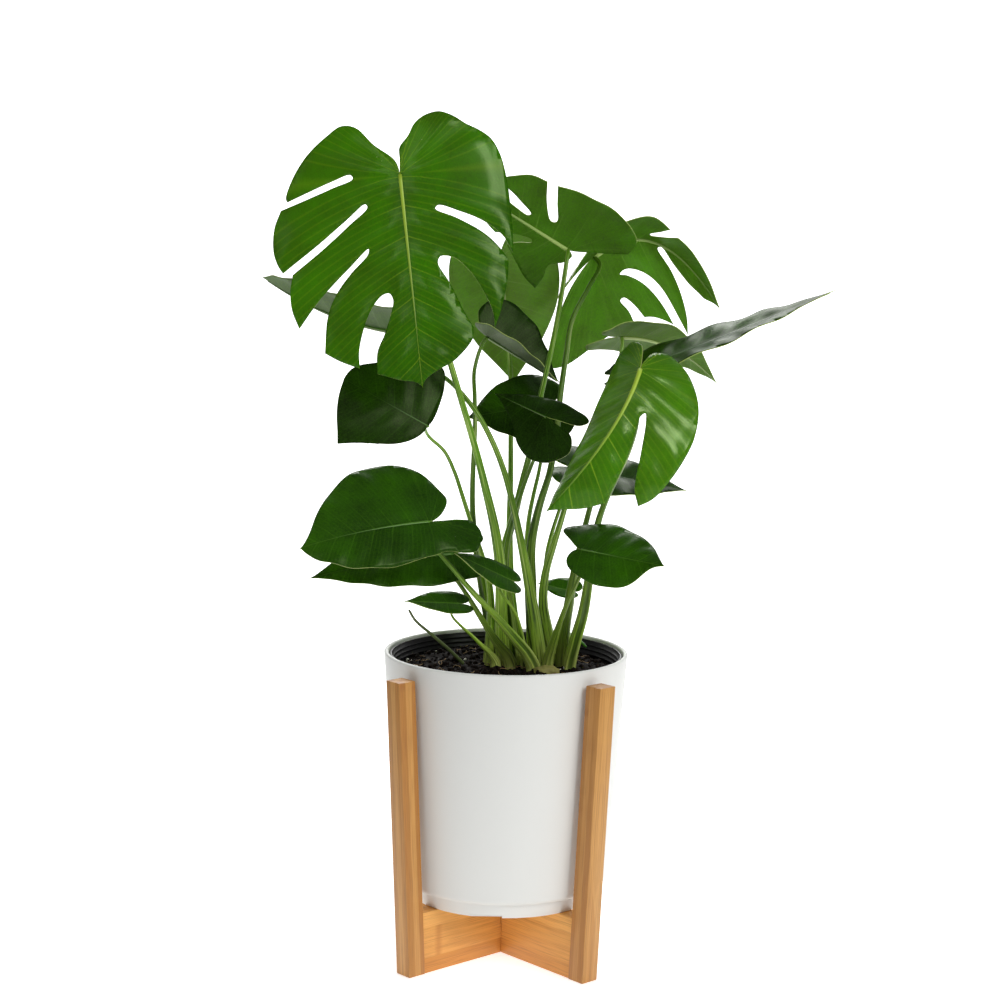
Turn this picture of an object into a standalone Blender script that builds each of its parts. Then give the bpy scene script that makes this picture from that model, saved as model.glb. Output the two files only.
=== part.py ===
"""Potted monstera: split-leaf plant in a nursery pot, inside a white planter on a crossed bamboo stand.

Metres, +Z up. The origin is on the pot's axis at floor level, and -Y is the front of the plant.
"""

import math

import bmesh
import bpy
import numpy as np
from mathutils import Vector
from mathutils.kdtree import KDTree

# Planter and what stands in it
RIM_HEIGHT = 0.309  # top of the planter's rim above the floor
RIM_RADIUS = 0.122  # outside
FOOT_RADIUS = 0.105  # outside, at the planter's lower edge
WALL = 0.0045
FLOOR_THICKNESS = 0.004
CORNER = 0.005  # round at the foot of the wall
TRAY_HEIGHT = 0.0145
TRAY_INSET = 0.0065  # how far the tray's upper edge stands in from the planter's foot
TRAY_TAPER = 0.0045
TRAY_WALL = 0.0025
NOTCH_WIDTH = 0.032  # drain notch in the tray's lower edge
NOTCH_HEIGHT = 0.003
NURSERY_DROP = 0.003  # nursery pot's rim below the planter's rim
NURSERY_WALL = 0.0014
NURSERY_CLEARANCE = 0.0016
NURSERY_RIB = 0.0012  # depth of the ribs inside the nursery pot's rim
SOIL_DROP = 0.013  # crown of the soil below the planter's rim
SOIL_FALL = 0.007  # soil at the wall below its crown
SOIL_FLAT = 0.080  # radius of the flat crown that the stems stand on

# Stand
LEG_SIDE = 0.020
LEG_TOP_DROP = 0.013  # tops of the legs below the planter's rim
LEG_GAP_TOP = 0.0048  # planter's wall to the leg, at the leg's top
LEG_GAP_FOOT = 0.0085  # planter's wall to the leg, at the planter's foot
STAND_TURN = math.radians(-48)  # first leg, from -Y towards +X
BEAM_HEIGHT = 0.0623
BEAM_THICKNESS = 0.018
DOWEL_RADIUS = 0.004
DOWEL_LENGTH = 0.026
DOWEL_SPACING = 0.030
EDGE_ROUND = 0.0008

# Plant
PLANT_SCALE = 1.0  # all of the plant above the soil
BLADE_THICKNESS = 0.0014
STEM_PITCH = 0.0146  # spacing of the stems where they leave the soil
DRAWN_PITCH = 0.0146  # the spacing that the stems' radii at the soil were chosen for
CROWN = (0.012, -0.003)  # middle of the clump
KNEE = 0.020  # how far below the blade the stem starts to turn towards it
GRID = 0.030  # spacing of the bends that a blade can take
GAP = 0.0003  # left between pieces that touch
STEM_CLEARANCE = 0.0012  # between two stems
BLADE_CLEARANCE = 0.0045  # from a stem's side to the middle of a blade
STEM_SAMPLES = 46
HELD_LOW, HELD_HIGH = 2, 3  # samples at each end of a stem that stay where they are

SOIL_TOP = RIM_HEIGHT - SOIL_DROP
PLANTER_FOOT = BEAM_HEIGHT + TRAY_HEIGHT + 2 * GAP

# Blade outlines, in millimetres: s runs from the stem's joint to the tip, t to the blade's left.
# Each line of points is one smooth stretch, and the margin turns a corner where two of them meet.
BIG_FRONT = [
    [(0, 0), (-14, -3), (-25, -4), (-36, -14), (-48, -22), (-56, -34), (-58, -46), (-53, -58),
     (-44, -71), (-38, -82), (-29, -93), (-14, -100), (12, -104), (58, -104), (82, -102)],
    [(82, -102), (65, -94), (50, -77), (39, -55), (32, -36), (35, -33), (45, -52), (61, -76),
     (75, -89), (88, -97)],
    [(88, -97), (103, -95), (135, -85), (152, -77)],
    [(152, -77), (138, -77), (117, -70), (98, -60), (83, -46), (81, -33), (87, -30), (106, -39),
     (135, -50), (150, -57)],
    [(150, -57), (161, -55), (179, -37), (187, -21), (195, -7), (203, 0)],
    [(203, 0), (197, 9), (194, 22), (189, 35), (185, 44)],
    [(185, 44), (165, 42), (148, 33), (132, 26), (118, 22), (111, 25), (112, 32), (125, 44),
     (146, 54), (163, 59), (178, 60)],
    [(178, 60), (169, 78), (160, 91)],
    [(160, 91), (126, 85), (106, 75), (88, 59), (72, 41), (67, 40), (82, 59), (108, 90), (133, 113)],
    [(133, 113), (115, 118), (99, 118), (82, 114)],
    [(82, 114), (62, 83), (42, 56), (27, 37), (24, 39), (36, 57), (56, 86), (79, 123)],
    [(79, 123), (71, 127), (56, 130), (35, 127), (19, 119)],
    [(19, 119), (12, 92), (5, 67), (-1, 48), (-5, 50), (-1, 68), (6, 92), (12, 112)],
    [(12, 112), (8, 113), (-9, 105), (-27, 91), (-45, 69), (-53, 54), (-49, 40), (-31, 25),
     (-14, 6), (0, 0)],
]
LEFT_LOW = [
    [(0, 0), (-16, 12), (-25, 27), (-20, 44), (-7, 61), (12, 71), (37, 74), (61, 69), (84, 54),
     (104, 34), (118, 14), (130, 0)],
    [(130, 0), (125, -12), (114, -23), (97, -34), (78, -42), (55, -46), (31, -45), (7, -40),
     (-8, -37), (-21, -41), (-33, -41), (-43, -31), (-48, -18), (-43, -5), (-28, 2), (-14, 0), (0, 0)],
]
RIGHT_LOW = [
    [(0, 0), (-8, 7), (-10, 17), (-3, 26), (11, 32), (32, 36), (51, 34), (65, 24), (76, 8), (89, 0)],
    [(89, 0), (79, -12), (65, -27), (42, -39), (19, -45), (0, -42), (-18, -34), (-28, -24), (-16, -13),
     (0, 0)],
]
RIGHT_FOLDED = [
    [(0, 0), (-14, -5), (-30, -14), (-38, -30), (-32, -46), (-14, -58), (10, -68), (41, -74), (64, -75),
     (92, -75), (112, -72), (124, -65)],
    [(124, -65), (112, -52), (80, -37), (52, -27), (44, -23), (52, -20), (76, -25), (96, -30), (135, -40)],
    [(135, -40), (150, -22), (163, 0)],
    [(163, 0), (140, 20), (105, 38), (62, 50), (25, 54), (-8, 50), (-32, 38), (-42, 20), (-34, 7),
     (-14, 3), (0, 0)],
]
BACK_HIGH = [
    [(0, 0), (-12, -8), (-32, -22), (-52, -38)],
    [(-52, -38), (-50, -54), (-34, -66), (-16, -73), (3, -76), (24, -72), (46, -67), (60, -63)],
    [(60, -63), (46, -44), (32, -25), (37, -22), (54, -37), (71, -60)],
    [(71, -60), (90, -54), (104, -42), (112, -27)],
    [(112, -27), (92, -27), (72, -21), (58, -15), (60, -12), (76, -13), (95, -15), (116, -16)],
    [(116, -16), (123, -7), (127, 0)],
    [(127, 0), (114, 14), (95, 25), (74, 31)],
    [(74, 31), (54, 21), (38, 16), (36, 19), (46, 28), (54, 38)],
    [(54, 38), (34, 48), (12, 60), (-4, 64)],
    [(-4, 64), (-2, 48), (3, 33), (-6, 20), (-9, 8), (0, 0)],
]
BACK_RIGHT = [
    [(0, 0), (-14, -4), (-36, -12), (-56, -28), (-62, -48), (-48, -68), (-18, -82), (14, -88), (34, -88)],
    [(34, -88), (30, -76), (22, -62), (27, -61), (38, -72), (48, -86)],
    [(48, -86), (62, -85), (84, -86)],
    [(84, -86), (72, -68), (54, -50), (34, -38), (26, -35), (33, -31), (56, -38), (76, -52), (92, -74),
     (102, -88)],
    [(102, -88), (105, -70), (101, -46), (92, -26), (78, -9), (84, -5), (96, -16), (116, -25), (134, -22)],
    [(134, -22), (146, -12), (160, 0)],
    [(160, 0), (140, 18), (116, 30), (94, 36)],
    [(94, 36), (82, 24), (68, 15), (65, 18), (74, 30), (82, 43)],
    [(82, 43), (60, 56), (34, 63), (12, 66)],
    [(12, 66), (12, 48), (8, 28), (4, 28), (2, 48), (-2, 66)],
    [(-2, 66), (-28, 60), (-46, 44), (-50, 24), (-36, 10), (-14, 3), (0, 0)],
]
LEFT_DARK = [
    [(0, 0), (-2, 10), (-1, 28), (3, 48), (11, 63), (25, 64), (47, 52), (72, 35), (91, 15), (91, -15),
     (83, -37), (73, -55), (69, -62)],
    [(69, -62), (53, -52), (35, -43), (20, -35), (8, -24), (1, -11), (0, 0)],
]
MID_CUPPED = [
    [(0, 0), (-12, 4), (-34, 10), (-38, 20), (-20, 27), (10, 26), (40, 14), (60, 0)],
    [(60, 0), (40, -14), (27, -24), (13, -40), (-4, -47), (-24, -42), (-38, -26), (-32, -10), (-10, -4),
     (0, 0)],
]
HEART = [(0, 0), (-0.05, 0.05), (-0.16, 0.2), (-0.23, 0.45), (-0.19, 0.72), (-0.05, 0.93), (0.16, 1.0),
         (0.4, 0.9), (0.65, 0.62), (0.85, 0.27), (1, 0)]
BROAD = [(0, 0), (-0.05, 0.05), (-0.13, 0.18), (-0.19, 0.45), (-0.17, 0.75), (-0.05, 0.96), (0.2, 1.0),
         (0.5, 0.97), (0.75, 0.82), (0.9, 0.55), (0.96, 0.25), (1, 0)]


def both_sides(runs, length, left, right):
    """The outline of a blade from one normalised side, with its own width on the left and right."""
    out = [[(s * length, -t * right) for s, t in run] for run in runs]
    back = [[(s * length, t * left) for s, t in reversed(run)] for run in reversed(runs)]
    return out + back


def heart(length, left, right):
    return both_sides([HEART], length, left, right)


# One row for each leaf. Places are from the middle of the soil's crown: at is the joint of stem and
# blade, tip the blade's tip and mid the middle of its midrib, where that isn't straight. top points
# out of the upper side. fold raises the left and right half, in degrees; cup bends both down
# towards the margin. slot is the stem's place in the clump, stem its radius at the soil and at the
# joint, and via the points that it passes.
LEAVES = {
    "big_front": dict(
        outline=BIG_FRONT, at=(-0.107, -0.075, 0.481), tip=(-0.082, -0.115, 0.284),
        top=(0.03, -0.97, 0.20), fold=(-3, -3), cup=0.9, slot=(-1, 0), stem=(0.0066, 0.0031),
        via=[(-0.007, -0.010, 0.105), (-0.031, -0.030, 0.211), (-0.057, -0.048, 0.299),
             (-0.093, -0.048, 0.420)]),
    "left_flat": dict(
        outline=both_sides([BROAD], 176, 54, 48), at=(-0.080, 0.015, 0.328), tip=(-0.246, 0.010, 0.381),
        mid=(-0.163, 0.012, 0.340), top=(0.1, -0.05, 1.0), fold=(18, 38), cup=0.0, slot=(1, -1),
        stem=(0.0066, 0.0028),
        via=[(0.015, -0.020, 0.116), (-0.009, -0.027, 0.208), (-0.038, -0.030, 0.262)]),
    "centre_droop": dict(
        outline=heart(92, 28, 50), at=(-0.023, 0.035, 0.324), tip=(0.050, 0.052, 0.278),
        top=(0.35, -0.1, 0.93), fold=(36, 58), cup=0.0, slot=(-2, 1), stem=(0.0056, 0.0026),
        via=[(-0.022, 0.014, 0.060), (-0.035, 0.003, 0.148), (-0.034, -0.006, 0.240)]),
    "back_centre": dict(
        outline=heart(128, 62, 60), at=(-0.012, 0.092, 0.401), tip=(0.004, 0.088, 0.272),
        top=(0.1, 0.97, 0.15), fold=(8, 8), cup=0.0, slot=(0, 2), stem=(0.0056, 0.0024),
        via=[(0.003, 0.050, 0.080), (0.002, 0.076, 0.200), (-0.001, 0.080, 0.300)]),
    "back_high": dict(
        outline=BACK_HIGH, at=(0.055, 0.020, 0.412), tip=(-0.042, -0.015, 0.470),
        top=(0.25, 0.8, 0.5), fold=(4, 4), cup=1.5, slot=(-1, 1), stem=(0.0064, 0.0031),
        via=[(-0.004, 0.020, 0.100), (0.011, 0.016, 0.167), (0.028, 0.012, 0.255),
             (0.045, 0.008, 0.342)]),
    "back_right": dict(
        outline=BACK_RIGHT, at=(0.084, 0.105, 0.404), tip=(0.219, 0.135, 0.349),
        mid=(0.151, 0.125, 0.418), top=(0.05, 0.75, 0.65), fold=(-25, -38), cup=0.0, slot=(1, 1),
        stem=(0.0064, 0.0031),
        via=[(0.024, 0.015, 0.119), (0.043, 0.002, 0.205), (0.053, 0.028, 0.290),
             (0.067, 0.062, 0.358)]),
    "right_under": dict(
        outline=heart(120, 40, 46), at=(0.109, 0.000, 0.328), tip=(0.208, 0.040, 0.280),
        mid=(0.162, 0.020, 0.316), top=(0.1, 0.5, 0.85), fold=(4, 4), cup=0.0, slot=(2, 1),
        stem=(0.0058, 0.0024),
        via=[(0.034, 0.012, 0.056), (0.054, 0.006, 0.148), (0.079, -0.004, 0.237)]),
    "right_folded": dict(
        outline=RIGHT_FOLDED, at=(0.120, -0.120, 0.305), tip=(0.034, -0.160, 0.175),
        mid=(0.090, -0.152, 0.246), top=(-0.1, -0.9, 0.42), fold=(-50, -18), cup=0.0, slot=(3, -1),
        stem=(0.0066, 0.0028),
        via=[(0.076, -0.028, 0.060), (0.088, -0.036, 0.150), (0.118, -0.085, 0.240)]),
    "right_long": dict(
        outline=heart(196, 38, 38), at=(0.129, -0.050, 0.303), tip=(0.306, -0.080, 0.380),
        mid=(0.215, -0.065, 0.339), top=(-0.3, -0.3, 0.9), fold=(10, 4), cup=0.0, slot=(3, 0),
        stem=(0.0058, 0.0025),
        via=[(0.069, -0.012, 0.107), (0.098, -0.030, 0.219)]),
    "mid_back": dict(
        outline=heart(96, 44, 46), at=(0.039, 0.050, 0.257), tip=(-0.043, 0.010, 0.245),
        top=(0.0, -0.8, 0.6), fold=(0, 0), cup=1.5, slot=(1, 2), stem=(0.0052, 0.0021),
        via=[(0.020, 0.045, 0.126), (0.034, 0.070, 0.205)]),
    "mid_cupped": dict(
        outline=MID_CUPPED, at=(0.035, -0.030, 0.251), tip=(-0.016, 0.000, 0.271),
        top=(0.0, -0.5, 0.87), fold=(10, -45), cup=0.0, slot=(0, 0), stem=(0.0052, 0.0021),
        via=[(-0.002, 0.000, 0.104), (0.012, -0.008, 0.170)]),
    "left_dark": dict(
        outline=LEFT_DARK, at=(-0.079, -0.050, 0.242), tip=(-0.158, -0.059, 0.286),
        top=(0.1, -0.9, 0.4), fold=(0, 0), cup=1.0, slot=(-2, 0), stem=(0.0052, 0.0021),
        via=[(-0.017, 0.000, 0.074), (-0.040, -0.006, 0.152), (-0.062, -0.012, 0.211)]),
    "left_low": dict(
        outline=LEFT_LOW, at=(-0.074, -0.100, 0.156), tip=(-0.193, -0.150, 0.136),
        mid=(-0.133, -0.127, 0.150), top=(0.0, -0.75, 0.66), fold=(6, 0), cup=1.0, slot=(1, -2),
        stem=(0.0066, 0.0024),
        via=[(-0.007, -0.048, 0.052), (-0.036, -0.077, 0.088), (-0.058, -0.084, 0.115)]),
    "left_lowest": dict(
        outline=heart(150, 40, 36), at=(-0.053, -0.045, 0.117), tip=(-0.190, -0.100, 0.099),
        mid=(-0.123, -0.074, 0.111), top=(0.0, -0.75, 0.66), fold=(8, 0), cup=1.0, slot=(-1, -1),
        stem=(0.0062, 0.0022),
        via=[(-0.014, -0.026, 0.033), (-0.040, -0.036, 0.076)]),
    "small_left": dict(
        outline=heart(66, 17, 17), at=(-0.047, -0.063, 0.071), tip=(-0.099, -0.104, 0.080),
        top=(0.0, -0.74, 0.67), fold=(6, 6), cup=0.0, slot=(-2, -1), stem=(0.0036, 0.0014),
        via=[(-0.030, -0.034, 0.030)]),
    "small_front": dict(
        outline=heart(66, 17, 20), at=(0.001, -0.070, 0.097), tip=(-0.051, -0.100, 0.126),
        top=(0.0, -0.7, 0.7), fold=(6, 6), cup=0.0, slot=(0, -1), stem=(0.0040, 0.0014),
        via=[(0.010, -0.042, 0.055)]),
    "right_low": dict(
        outline=RIGHT_LOW, at=(0.070, -0.070, 0.127), tip=(0.149, -0.110, 0.118),
        top=(0.0, -0.75, 0.66), fold=(-6, -6), cup=2.0, slot=(2, -2), stem=(0.0056, 0.0020),
        via=[(0.056, -0.046, 0.062)]),
    "small_back": dict(
        outline=heart(40, 18, 14), at=(0.066, 0.034, 0.068), tip=(0.031, 0.052, 0.073),
        top=(0.0, -0.7, 0.7), fold=(6, 6), cup=0.0, slot=(3, 1), stem=(0.0034, 0.0014),
        via=[(0.064, 0.034, 0.030)]),
    "back_low": dict(
        outline=heart(134, 44, 46), at=(0.067, 0.085, 0.188), tip=(0.186, 0.100, 0.164),
        top=(0.0, -0.45, 0.89), fold=(6, 6), cup=1.0, slot=(2, 2), stem=(0.0052, 0.0021),
        via=[(0.040, 0.050, 0.100)]),
}
TENDRIL = [(-0.042, -0.026, 0.004), (-0.056, -0.046, 0.022), (-0.074, -0.066, 0.042),
           (-0.088, -0.080, 0.057), (-0.094, -0.085, 0.068)]
SPROUT = [(0.066, -0.006, 0.000), (0.068, 0.004, 0.014), (0.074, 0.012, 0.020), (0.081, 0.018, 0.014)]
TENDRIL_RADII = (0.0021, 0.0012)
SPROUT_RADII = (0.0042, 0.0012)


def clear_scene():
    for obj in list(bpy.data.objects):
        bpy.data.objects.remove(obj, do_unlink=True)


def material(name, colour, roughness, metallic=0.0):
    mat = bpy.data.materials.new(name)
    mat.use_nodes = True
    shader = mat.node_tree.nodes["Principled BSDF"]
    shader.inputs["Base Color"].default_value = (*colour, 1.0)
    shader.inputs["Roughness"].default_value = roughness
    shader.inputs["Metallic"].default_value = metallic
    return mat


def add(name, data, mat, collection):
    obj = bpy.data.objects.new(name, data)
    collection.objects.link(obj)
    if mat:
        data.materials.append(mat)
    return obj


def cut(obj, cutter):
    boolean = obj.modifiers.new("cut_" + cutter.name, "BOOLEAN")
    boolean.operation = "DIFFERENCE"
    boolean.solver = "EXACT"
    boolean.object = cutter


def hidden_cutter(name, mesh):
    obj = add(name, mesh, None, CUTTERS)
    obj.hide_render = True
    obj.display_type = "WIRE"
    return obj


def turned(name, profile, mat, steps=40):
    """A solid of revolution from (radius, height) points, from the axis out and down the outside."""
    mesh = bpy.data.meshes.new(name)
    edges = [(i, i + 1) for i in range(len(profile) - 1)]
    mesh.from_pydata([(r, 0, z) for r, z in profile], edges, [])
    obj = add(name, mesh, mat, PARTS)
    screw = obj.modifiers.new("turn", "SCREW")
    screw.axis = "Z"
    screw.steps = screw.render_steps = steps
    screw.use_merge_vertices = True
    screw.merge_threshold = 0.0001
    screw.use_smooth_shade = True
    return obj


def box_mesh(name, size, move=(0, 0, 0)):
    mesh = bpy.data.meshes.new(name)
    bm = bmesh.new()
    bmesh.ops.create_cube(bm, size=1.0)
    for vert in bm.verts:
        vert.co = Vector([c * s + m for c, s, m in zip(vert.co, size, move)])
    bm.to_mesh(mesh)
    bm.free()
    return mesh


def rod_mesh(name, radius, length, sides=12):
    """A rod along X with its middle at the origin."""
    mesh = bpy.data.meshes.new(name)
    bm = bmesh.new()
    bmesh.ops.create_cone(bm, cap_ends=True, segments=sides, radius1=radius, radius2=radius, depth=length)
    for vert in bm.verts:
        vert.co = Vector((vert.co.z, vert.co.y, -vert.co.x))
    bm.to_mesh(mesh)
    bm.free()
    return mesh


def bevel(obj, width=EDGE_ROUND, segments=2):
    mod = obj.modifiers.new("edges", "BEVEL")
    mod.width = width
    mod.segments = segments
    mod.limit_method = "ANGLE"


# ---- planter, tray, nursery pot and soil

def wall_radius(z):
    """Outside of the planter's wall at height z."""
    share = (z - PLANTER_FOOT) / (RIM_HEIGHT - PLANTER_FOOT)
    return FOOT_RADIUS + (RIM_RADIUS - FOOT_RADIUS) * share


def nursery_radius(z):
    """Outside of the nursery pot's wall at height z."""
    return wall_radius(z) - WALL - NURSERY_CLEARANCE


def make_pots(white, black, earth):
    lip = 0.45 * WALL
    floor = PLANTER_FOOT + FLOOR_THICKNESS
    arc = [math.radians(a) for a in (0, 30, 60, 90)]
    rim = [(RIM_RADIUS - WALL + lip * (1 - math.cos(a)), RIM_HEIGHT - lip * (1 - math.sin(a))) for a in arc]
    rim += [(RIM_RADIUS - lip * (1 - math.sin(a)), RIM_HEIGHT - lip * (1 - math.cos(a))) for a in arc]
    foot = [(FOOT_RADIUS - CORNER * (1 - math.cos(a)), PLANTER_FOOT + CORNER * (1 - math.sin(a))) for a in arc]
    profile = [(0, floor), (wall_radius(floor) - WALL, floor)] + rim + foot + [(0, PLANTER_FOOT)]
    turned("planter", profile, white)

    upper = FOOT_RADIUS - TRAY_INSET
    lower = upper - TRAY_TAPER
    top = PLANTER_FOOT - GAP
    base = BEAM_HEIGHT + GAP
    profile = [(0, base + TRAY_WALL), (lower - TRAY_WALL, base + TRAY_WALL), (upper - TRAY_WALL, top),
               (upper, top), (lower + 0.0008, base + 0.0008), (lower, base), (0, base)]
    tray = turned("drip_tray", profile, white)
    notch = hidden_cutter("tray_notch", box_mesh("tray_notch", (NOTCH_WIDTH, 4 * TRAY_WALL, 2 * NOTCH_HEIGHT)))
    notch.location = (-NOTCH_WIDTH / 2, -lower, base)
    cut(tray, notch)

    lip_top = RIM_HEIGHT - NURSERY_DROP
    bottom = floor + GAP
    outer = [(nursery_radius(lip_top), lip_top), (nursery_radius(bottom) - 0.002, bottom), (0, bottom)]
    inner = [(0, bottom + NURSERY_WALL), (nursery_radius(bottom) - 0.002 - NURSERY_WALL, bottom + NURSERY_WALL)]
    soil_edge = SOIL_TOP - SOIL_FALL
    inner.append((nursery_radius(soil_edge) - NURSERY_WALL, soil_edge))
    for i in range(3):  # steps of the ribbed rim
        z = soil_edge + (lip_top - soil_edge) * (i + 0.6) / 3.6
        inner.append((nursery_radius(z) - NURSERY_WALL - 0.2 * NURSERY_RIB, z - 0.0012))
        inner.append((nursery_radius(z) - NURSERY_WALL - NURSERY_RIB, z))
        inner.append((nursery_radius(z) - NURSERY_WALL - 0.2 * NURSERY_RIB, z + 0.0012))
    inner.append((nursery_radius(lip_top) - NURSERY_WALL, lip_top))
    turned("nursery_pot", inner + outer, black)

    low = bottom + NURSERY_WALL + GAP
    wall = NURSERY_WALL + 4 * GAP
    edge = nursery_radius(soil_edge) - wall
    slope = [(SOIL_FLAT + (edge - SOIL_FLAT) * k, SOIL_TOP - SOIL_FALL * k * k) for k in (0.25, 0.5, 0.75, 1)]
    profile = [(0, SOIL_TOP), (SOIL_FLAT, SOIL_TOP)] + slope
    profile += [(nursery_radius(low) - 0.002 - wall, low), (0, low)]
    turned("soil", profile, earth)


# ---- stand

def leg_radius(z):
    """Middle of a leg, from the pot's axis, at height z."""
    height = RIM_HEIGHT - LEG_TOP_DROP
    low = FOOT_RADIUS + LEG_GAP_FOOT
    high = wall_radius(height) + LEG_GAP_TOP
    share = (z - PLANTER_FOOT) / (height - PLANTER_FOOT)
    return low + (high - low) * share + LEG_SIDE / 2


def make_stand(bamboo, beech):
    height = RIM_HEIGHT - LEG_TOP_DROP
    dowel_heights = [BEAM_HEIGHT / 2 - DOWEL_SPACING / 2, BEAM_HEIGHT / 2 + DOWEL_SPACING / 2]
    beams = []
    for name, turn in (("beam_lower", 0), ("beam_upper", 90)):
        mesh = box_mesh(name, (2, BEAM_THICKNESS, BEAM_HEIGHT), (0, 0, BEAM_HEIGHT / 2))
        for vert in mesh.vertices:
            end = leg_radius(vert.co.z) - LEG_SIDE / 2 - GAP
            vert.co.x = math.copysign(end, vert.co.x)
        beam = add(name, mesh, bamboo, PARTS)
        beam.rotation_euler = (0, 0, STAND_TURN + math.radians(turn - 90))
        beams.append(beam)
    half = BEAM_HEIGHT / 2
    halving = (BEAM_THICKNESS + 2 * GAP, 3 * BEAM_THICKNESS, BEAM_HEIGHT)
    for beam, z in zip(beams, (half + BEAM_HEIGHT / 2 - GAP / 2, -half + BEAM_HEIGHT / 2 + GAP / 2)):
        slot = hidden_cutter("halving_" + beam.name, box_mesh("halving", halving))
        slot.location = (0, 0, z)
        slot.rotation_euler = beam.rotation_euler
        cut(beam, slot)
        bevel(beam)
    for i, name in enumerate(("front_left", "front_right", "back_right", "back_left")):
        angle = STAND_TURN + math.radians(90 * i - 90)
        mesh = box_mesh("leg_" + name, (LEG_SIDE, LEG_SIDE, height), (0, 0, height / 2))
        for vert in mesh.vertices:
            vert.co.x += leg_radius(vert.co.z)
        leg = add("leg_" + name, mesh, bamboo, PARTS)
        leg.rotation_euler = (0, 0, angle)
        for level, z in zip(("low", "high"), dowel_heights):
            centre = leg_radius(z) - LEG_SIDE / 2
            spot = Vector((centre * math.cos(angle), centre * math.sin(angle), z))
            dowel = add(f"dowel_{name}_{level}", rod_mesh("dowel", DOWEL_RADIUS, DOWEL_LENGTH), beech, PARTS)
            hole_mesh = rod_mesh("hole", DOWEL_RADIUS + GAP, DOWEL_LENGTH + 2 * GAP)
            hole = hidden_cutter(f"hole_{name}_{level}", hole_mesh)
            for rod in (dowel, hole):
                rod.location = spot
                rod.rotation_euler = (0, 0, angle)
            cut(leg, hole)
            cut(beams[i % 2], hole)
        bevel(leg)


# ---- leaves

def smooth(points, steps):
    """Catmull-Rom curve through the points, as an array, with the slopes of unevenly spaced points evened out."""
    pts = np.array(points, float)
    full = np.vstack([2 * pts[0] - pts[1], pts, 2 * pts[-1] - pts[-2]])
    out = []
    for i in range(len(pts) - 1):
        a, b, c, d = full[i:i + 4]
        before, here, after = [max(np.linalg.norm(q - p), 1e-9) ** 0.5 for p, q in ((a, b), (b, c), (c, d))]
        start = ((b - a) / before - (c - a) / (before + here) + (c - b) / here) * here
        end = ((c - b) / here - (d - b) / (here + after) + (d - c) / after) * here
        for k in range(steps):
            u = k / steps
            out.append((2 * u ** 3 - 3 * u * u + 1) * b + (u ** 3 - 2 * u * u + u) * start
                       + (3 * u * u - 2 * u ** 3) * c + (u ** 3 - u * u) * end)
    return np.array(out + [pts[-1]])


def margin(runs, steps=1):
    """The closed outline of a blade, in metres."""
    out = []
    for run in runs:
        out += list(smooth(run, steps)[:-1])
    return np.array(out) * 0.001 * PLANT_SCALE


def plant_point(place):
    return np.array(place, float) * PLANT_SCALE + np.array([0, 0, SOIL_TOP])


class Blade:
    """Where each point of a flat blade lies once it is bent along its midrib and folded."""

    def __init__(self, row):
        self.at = plant_point(row["at"])
        self.tip = plant_point(row["tip"])
        middle = (self.at + self.tip) / 2
        self.mid = plant_point(row["mid"]) if "mid" in row else middle
        along = self.mid - self.at
        along /= np.linalg.norm(along)
        top = np.array(row["top"], float)
        top -= along * (top @ along)
        self.top = top / np.linalg.norm(top)
        self.left = np.cross(along, self.top)
        self.fold = [math.radians(a) for a in row["fold"]]
        self.cup = row["cup"] / PLANT_SCALE
        self.length = max(s for run in row["outline"] for s, t in run) * 0.001 * PLANT_SCALE

    def midrib(self, s):
        u = s / self.length
        turn = 2 * self.mid - (self.at + self.tip) / 2
        return (1 - u) ** 2 * self.at + 2 * u * (1 - u) * turn + u * u * self.tip

    def place(self, s, t):
        fold = self.fold[0] if t > 0 else self.fold[1]
        out = math.cos(fold) * t
        up = math.sin(fold) * abs(t) - self.cup * t * t
        return self.midrib(s) + self.left * out + self.top * up


def make_blade(name, row, mat):
    blade = Blade(row)
    outline = margin(row["outline"])
    bm = bmesh.new()
    bm.faces.new([bm.verts.new((s, t, 0)) for s, t in outline])
    grid = GRID * PLANT_SCALE
    for axis in (0, 1):
        low, high = outline[:, axis].min(), outline[:, axis].max()
        normal = Vector((1 - axis, axis, 0))
        for k in range(math.ceil(low / grid), math.floor(high / grid) + 1):
            geometry = bm.verts[:] + bm.edges[:] + bm.faces[:]
            bmesh.ops.bisect_plane(bm, geom=geometry, dist=0.0008, plane_co=normal * k * grid, plane_no=normal)
    for vert in bm.verts:
        vert.co = Vector(blade.place(vert.co.x, vert.co.y))
    for face in bm.faces:
        if face.normal.dot(Vector(blade.top)) < 0:
            face.normal_flip()
    bmesh.ops.recalc_face_normals(bm, faces=bm.faces[:])
    mesh = bpy.data.meshes.new("leaf_" + name)
    bm.to_mesh(mesh)
    bm.free()
    mesh.shade_smooth()
    obj = add("leaf_" + name, mesh, mat, PARTS)
    shell = obj.modifiers.new("thickness", "SOLIDIFY")
    shell.thickness = BLADE_THICKNESS
    shell.offset = 0
    return obj


def inside(outline, s, t):
    """Whether a point lies inside the closed outline."""
    a, b = outline, np.roll(outline, -1, axis=0)
    crosses = (a[:, 1] > t) != (b[:, 1] > t)
    with np.errstate(divide="ignore", invalid="ignore"):
        at = a[:, 0] + (t - a[:, 1]) * (b[:, 0] - a[:, 0]) / (b[:, 1] - a[:, 1])
    return (crosses & (s < at)).sum() % 2 == 1


def blade_points(row, spacing=0.006):
    """Points spread over a blade, for keeping the stems clear of it."""
    blade = Blade(row)
    outline = margin(row["outline"])
    low, high = outline.min(axis=0), outline.max(axis=0)
    points = [blade.place(s, t) for s, t in outline]
    for s in np.arange(low[0], high[0], spacing):
        points += [blade.place(s, t) for t in np.arange(low[1], high[1], spacing) if inside(outline, s, t)]
    return points


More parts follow.
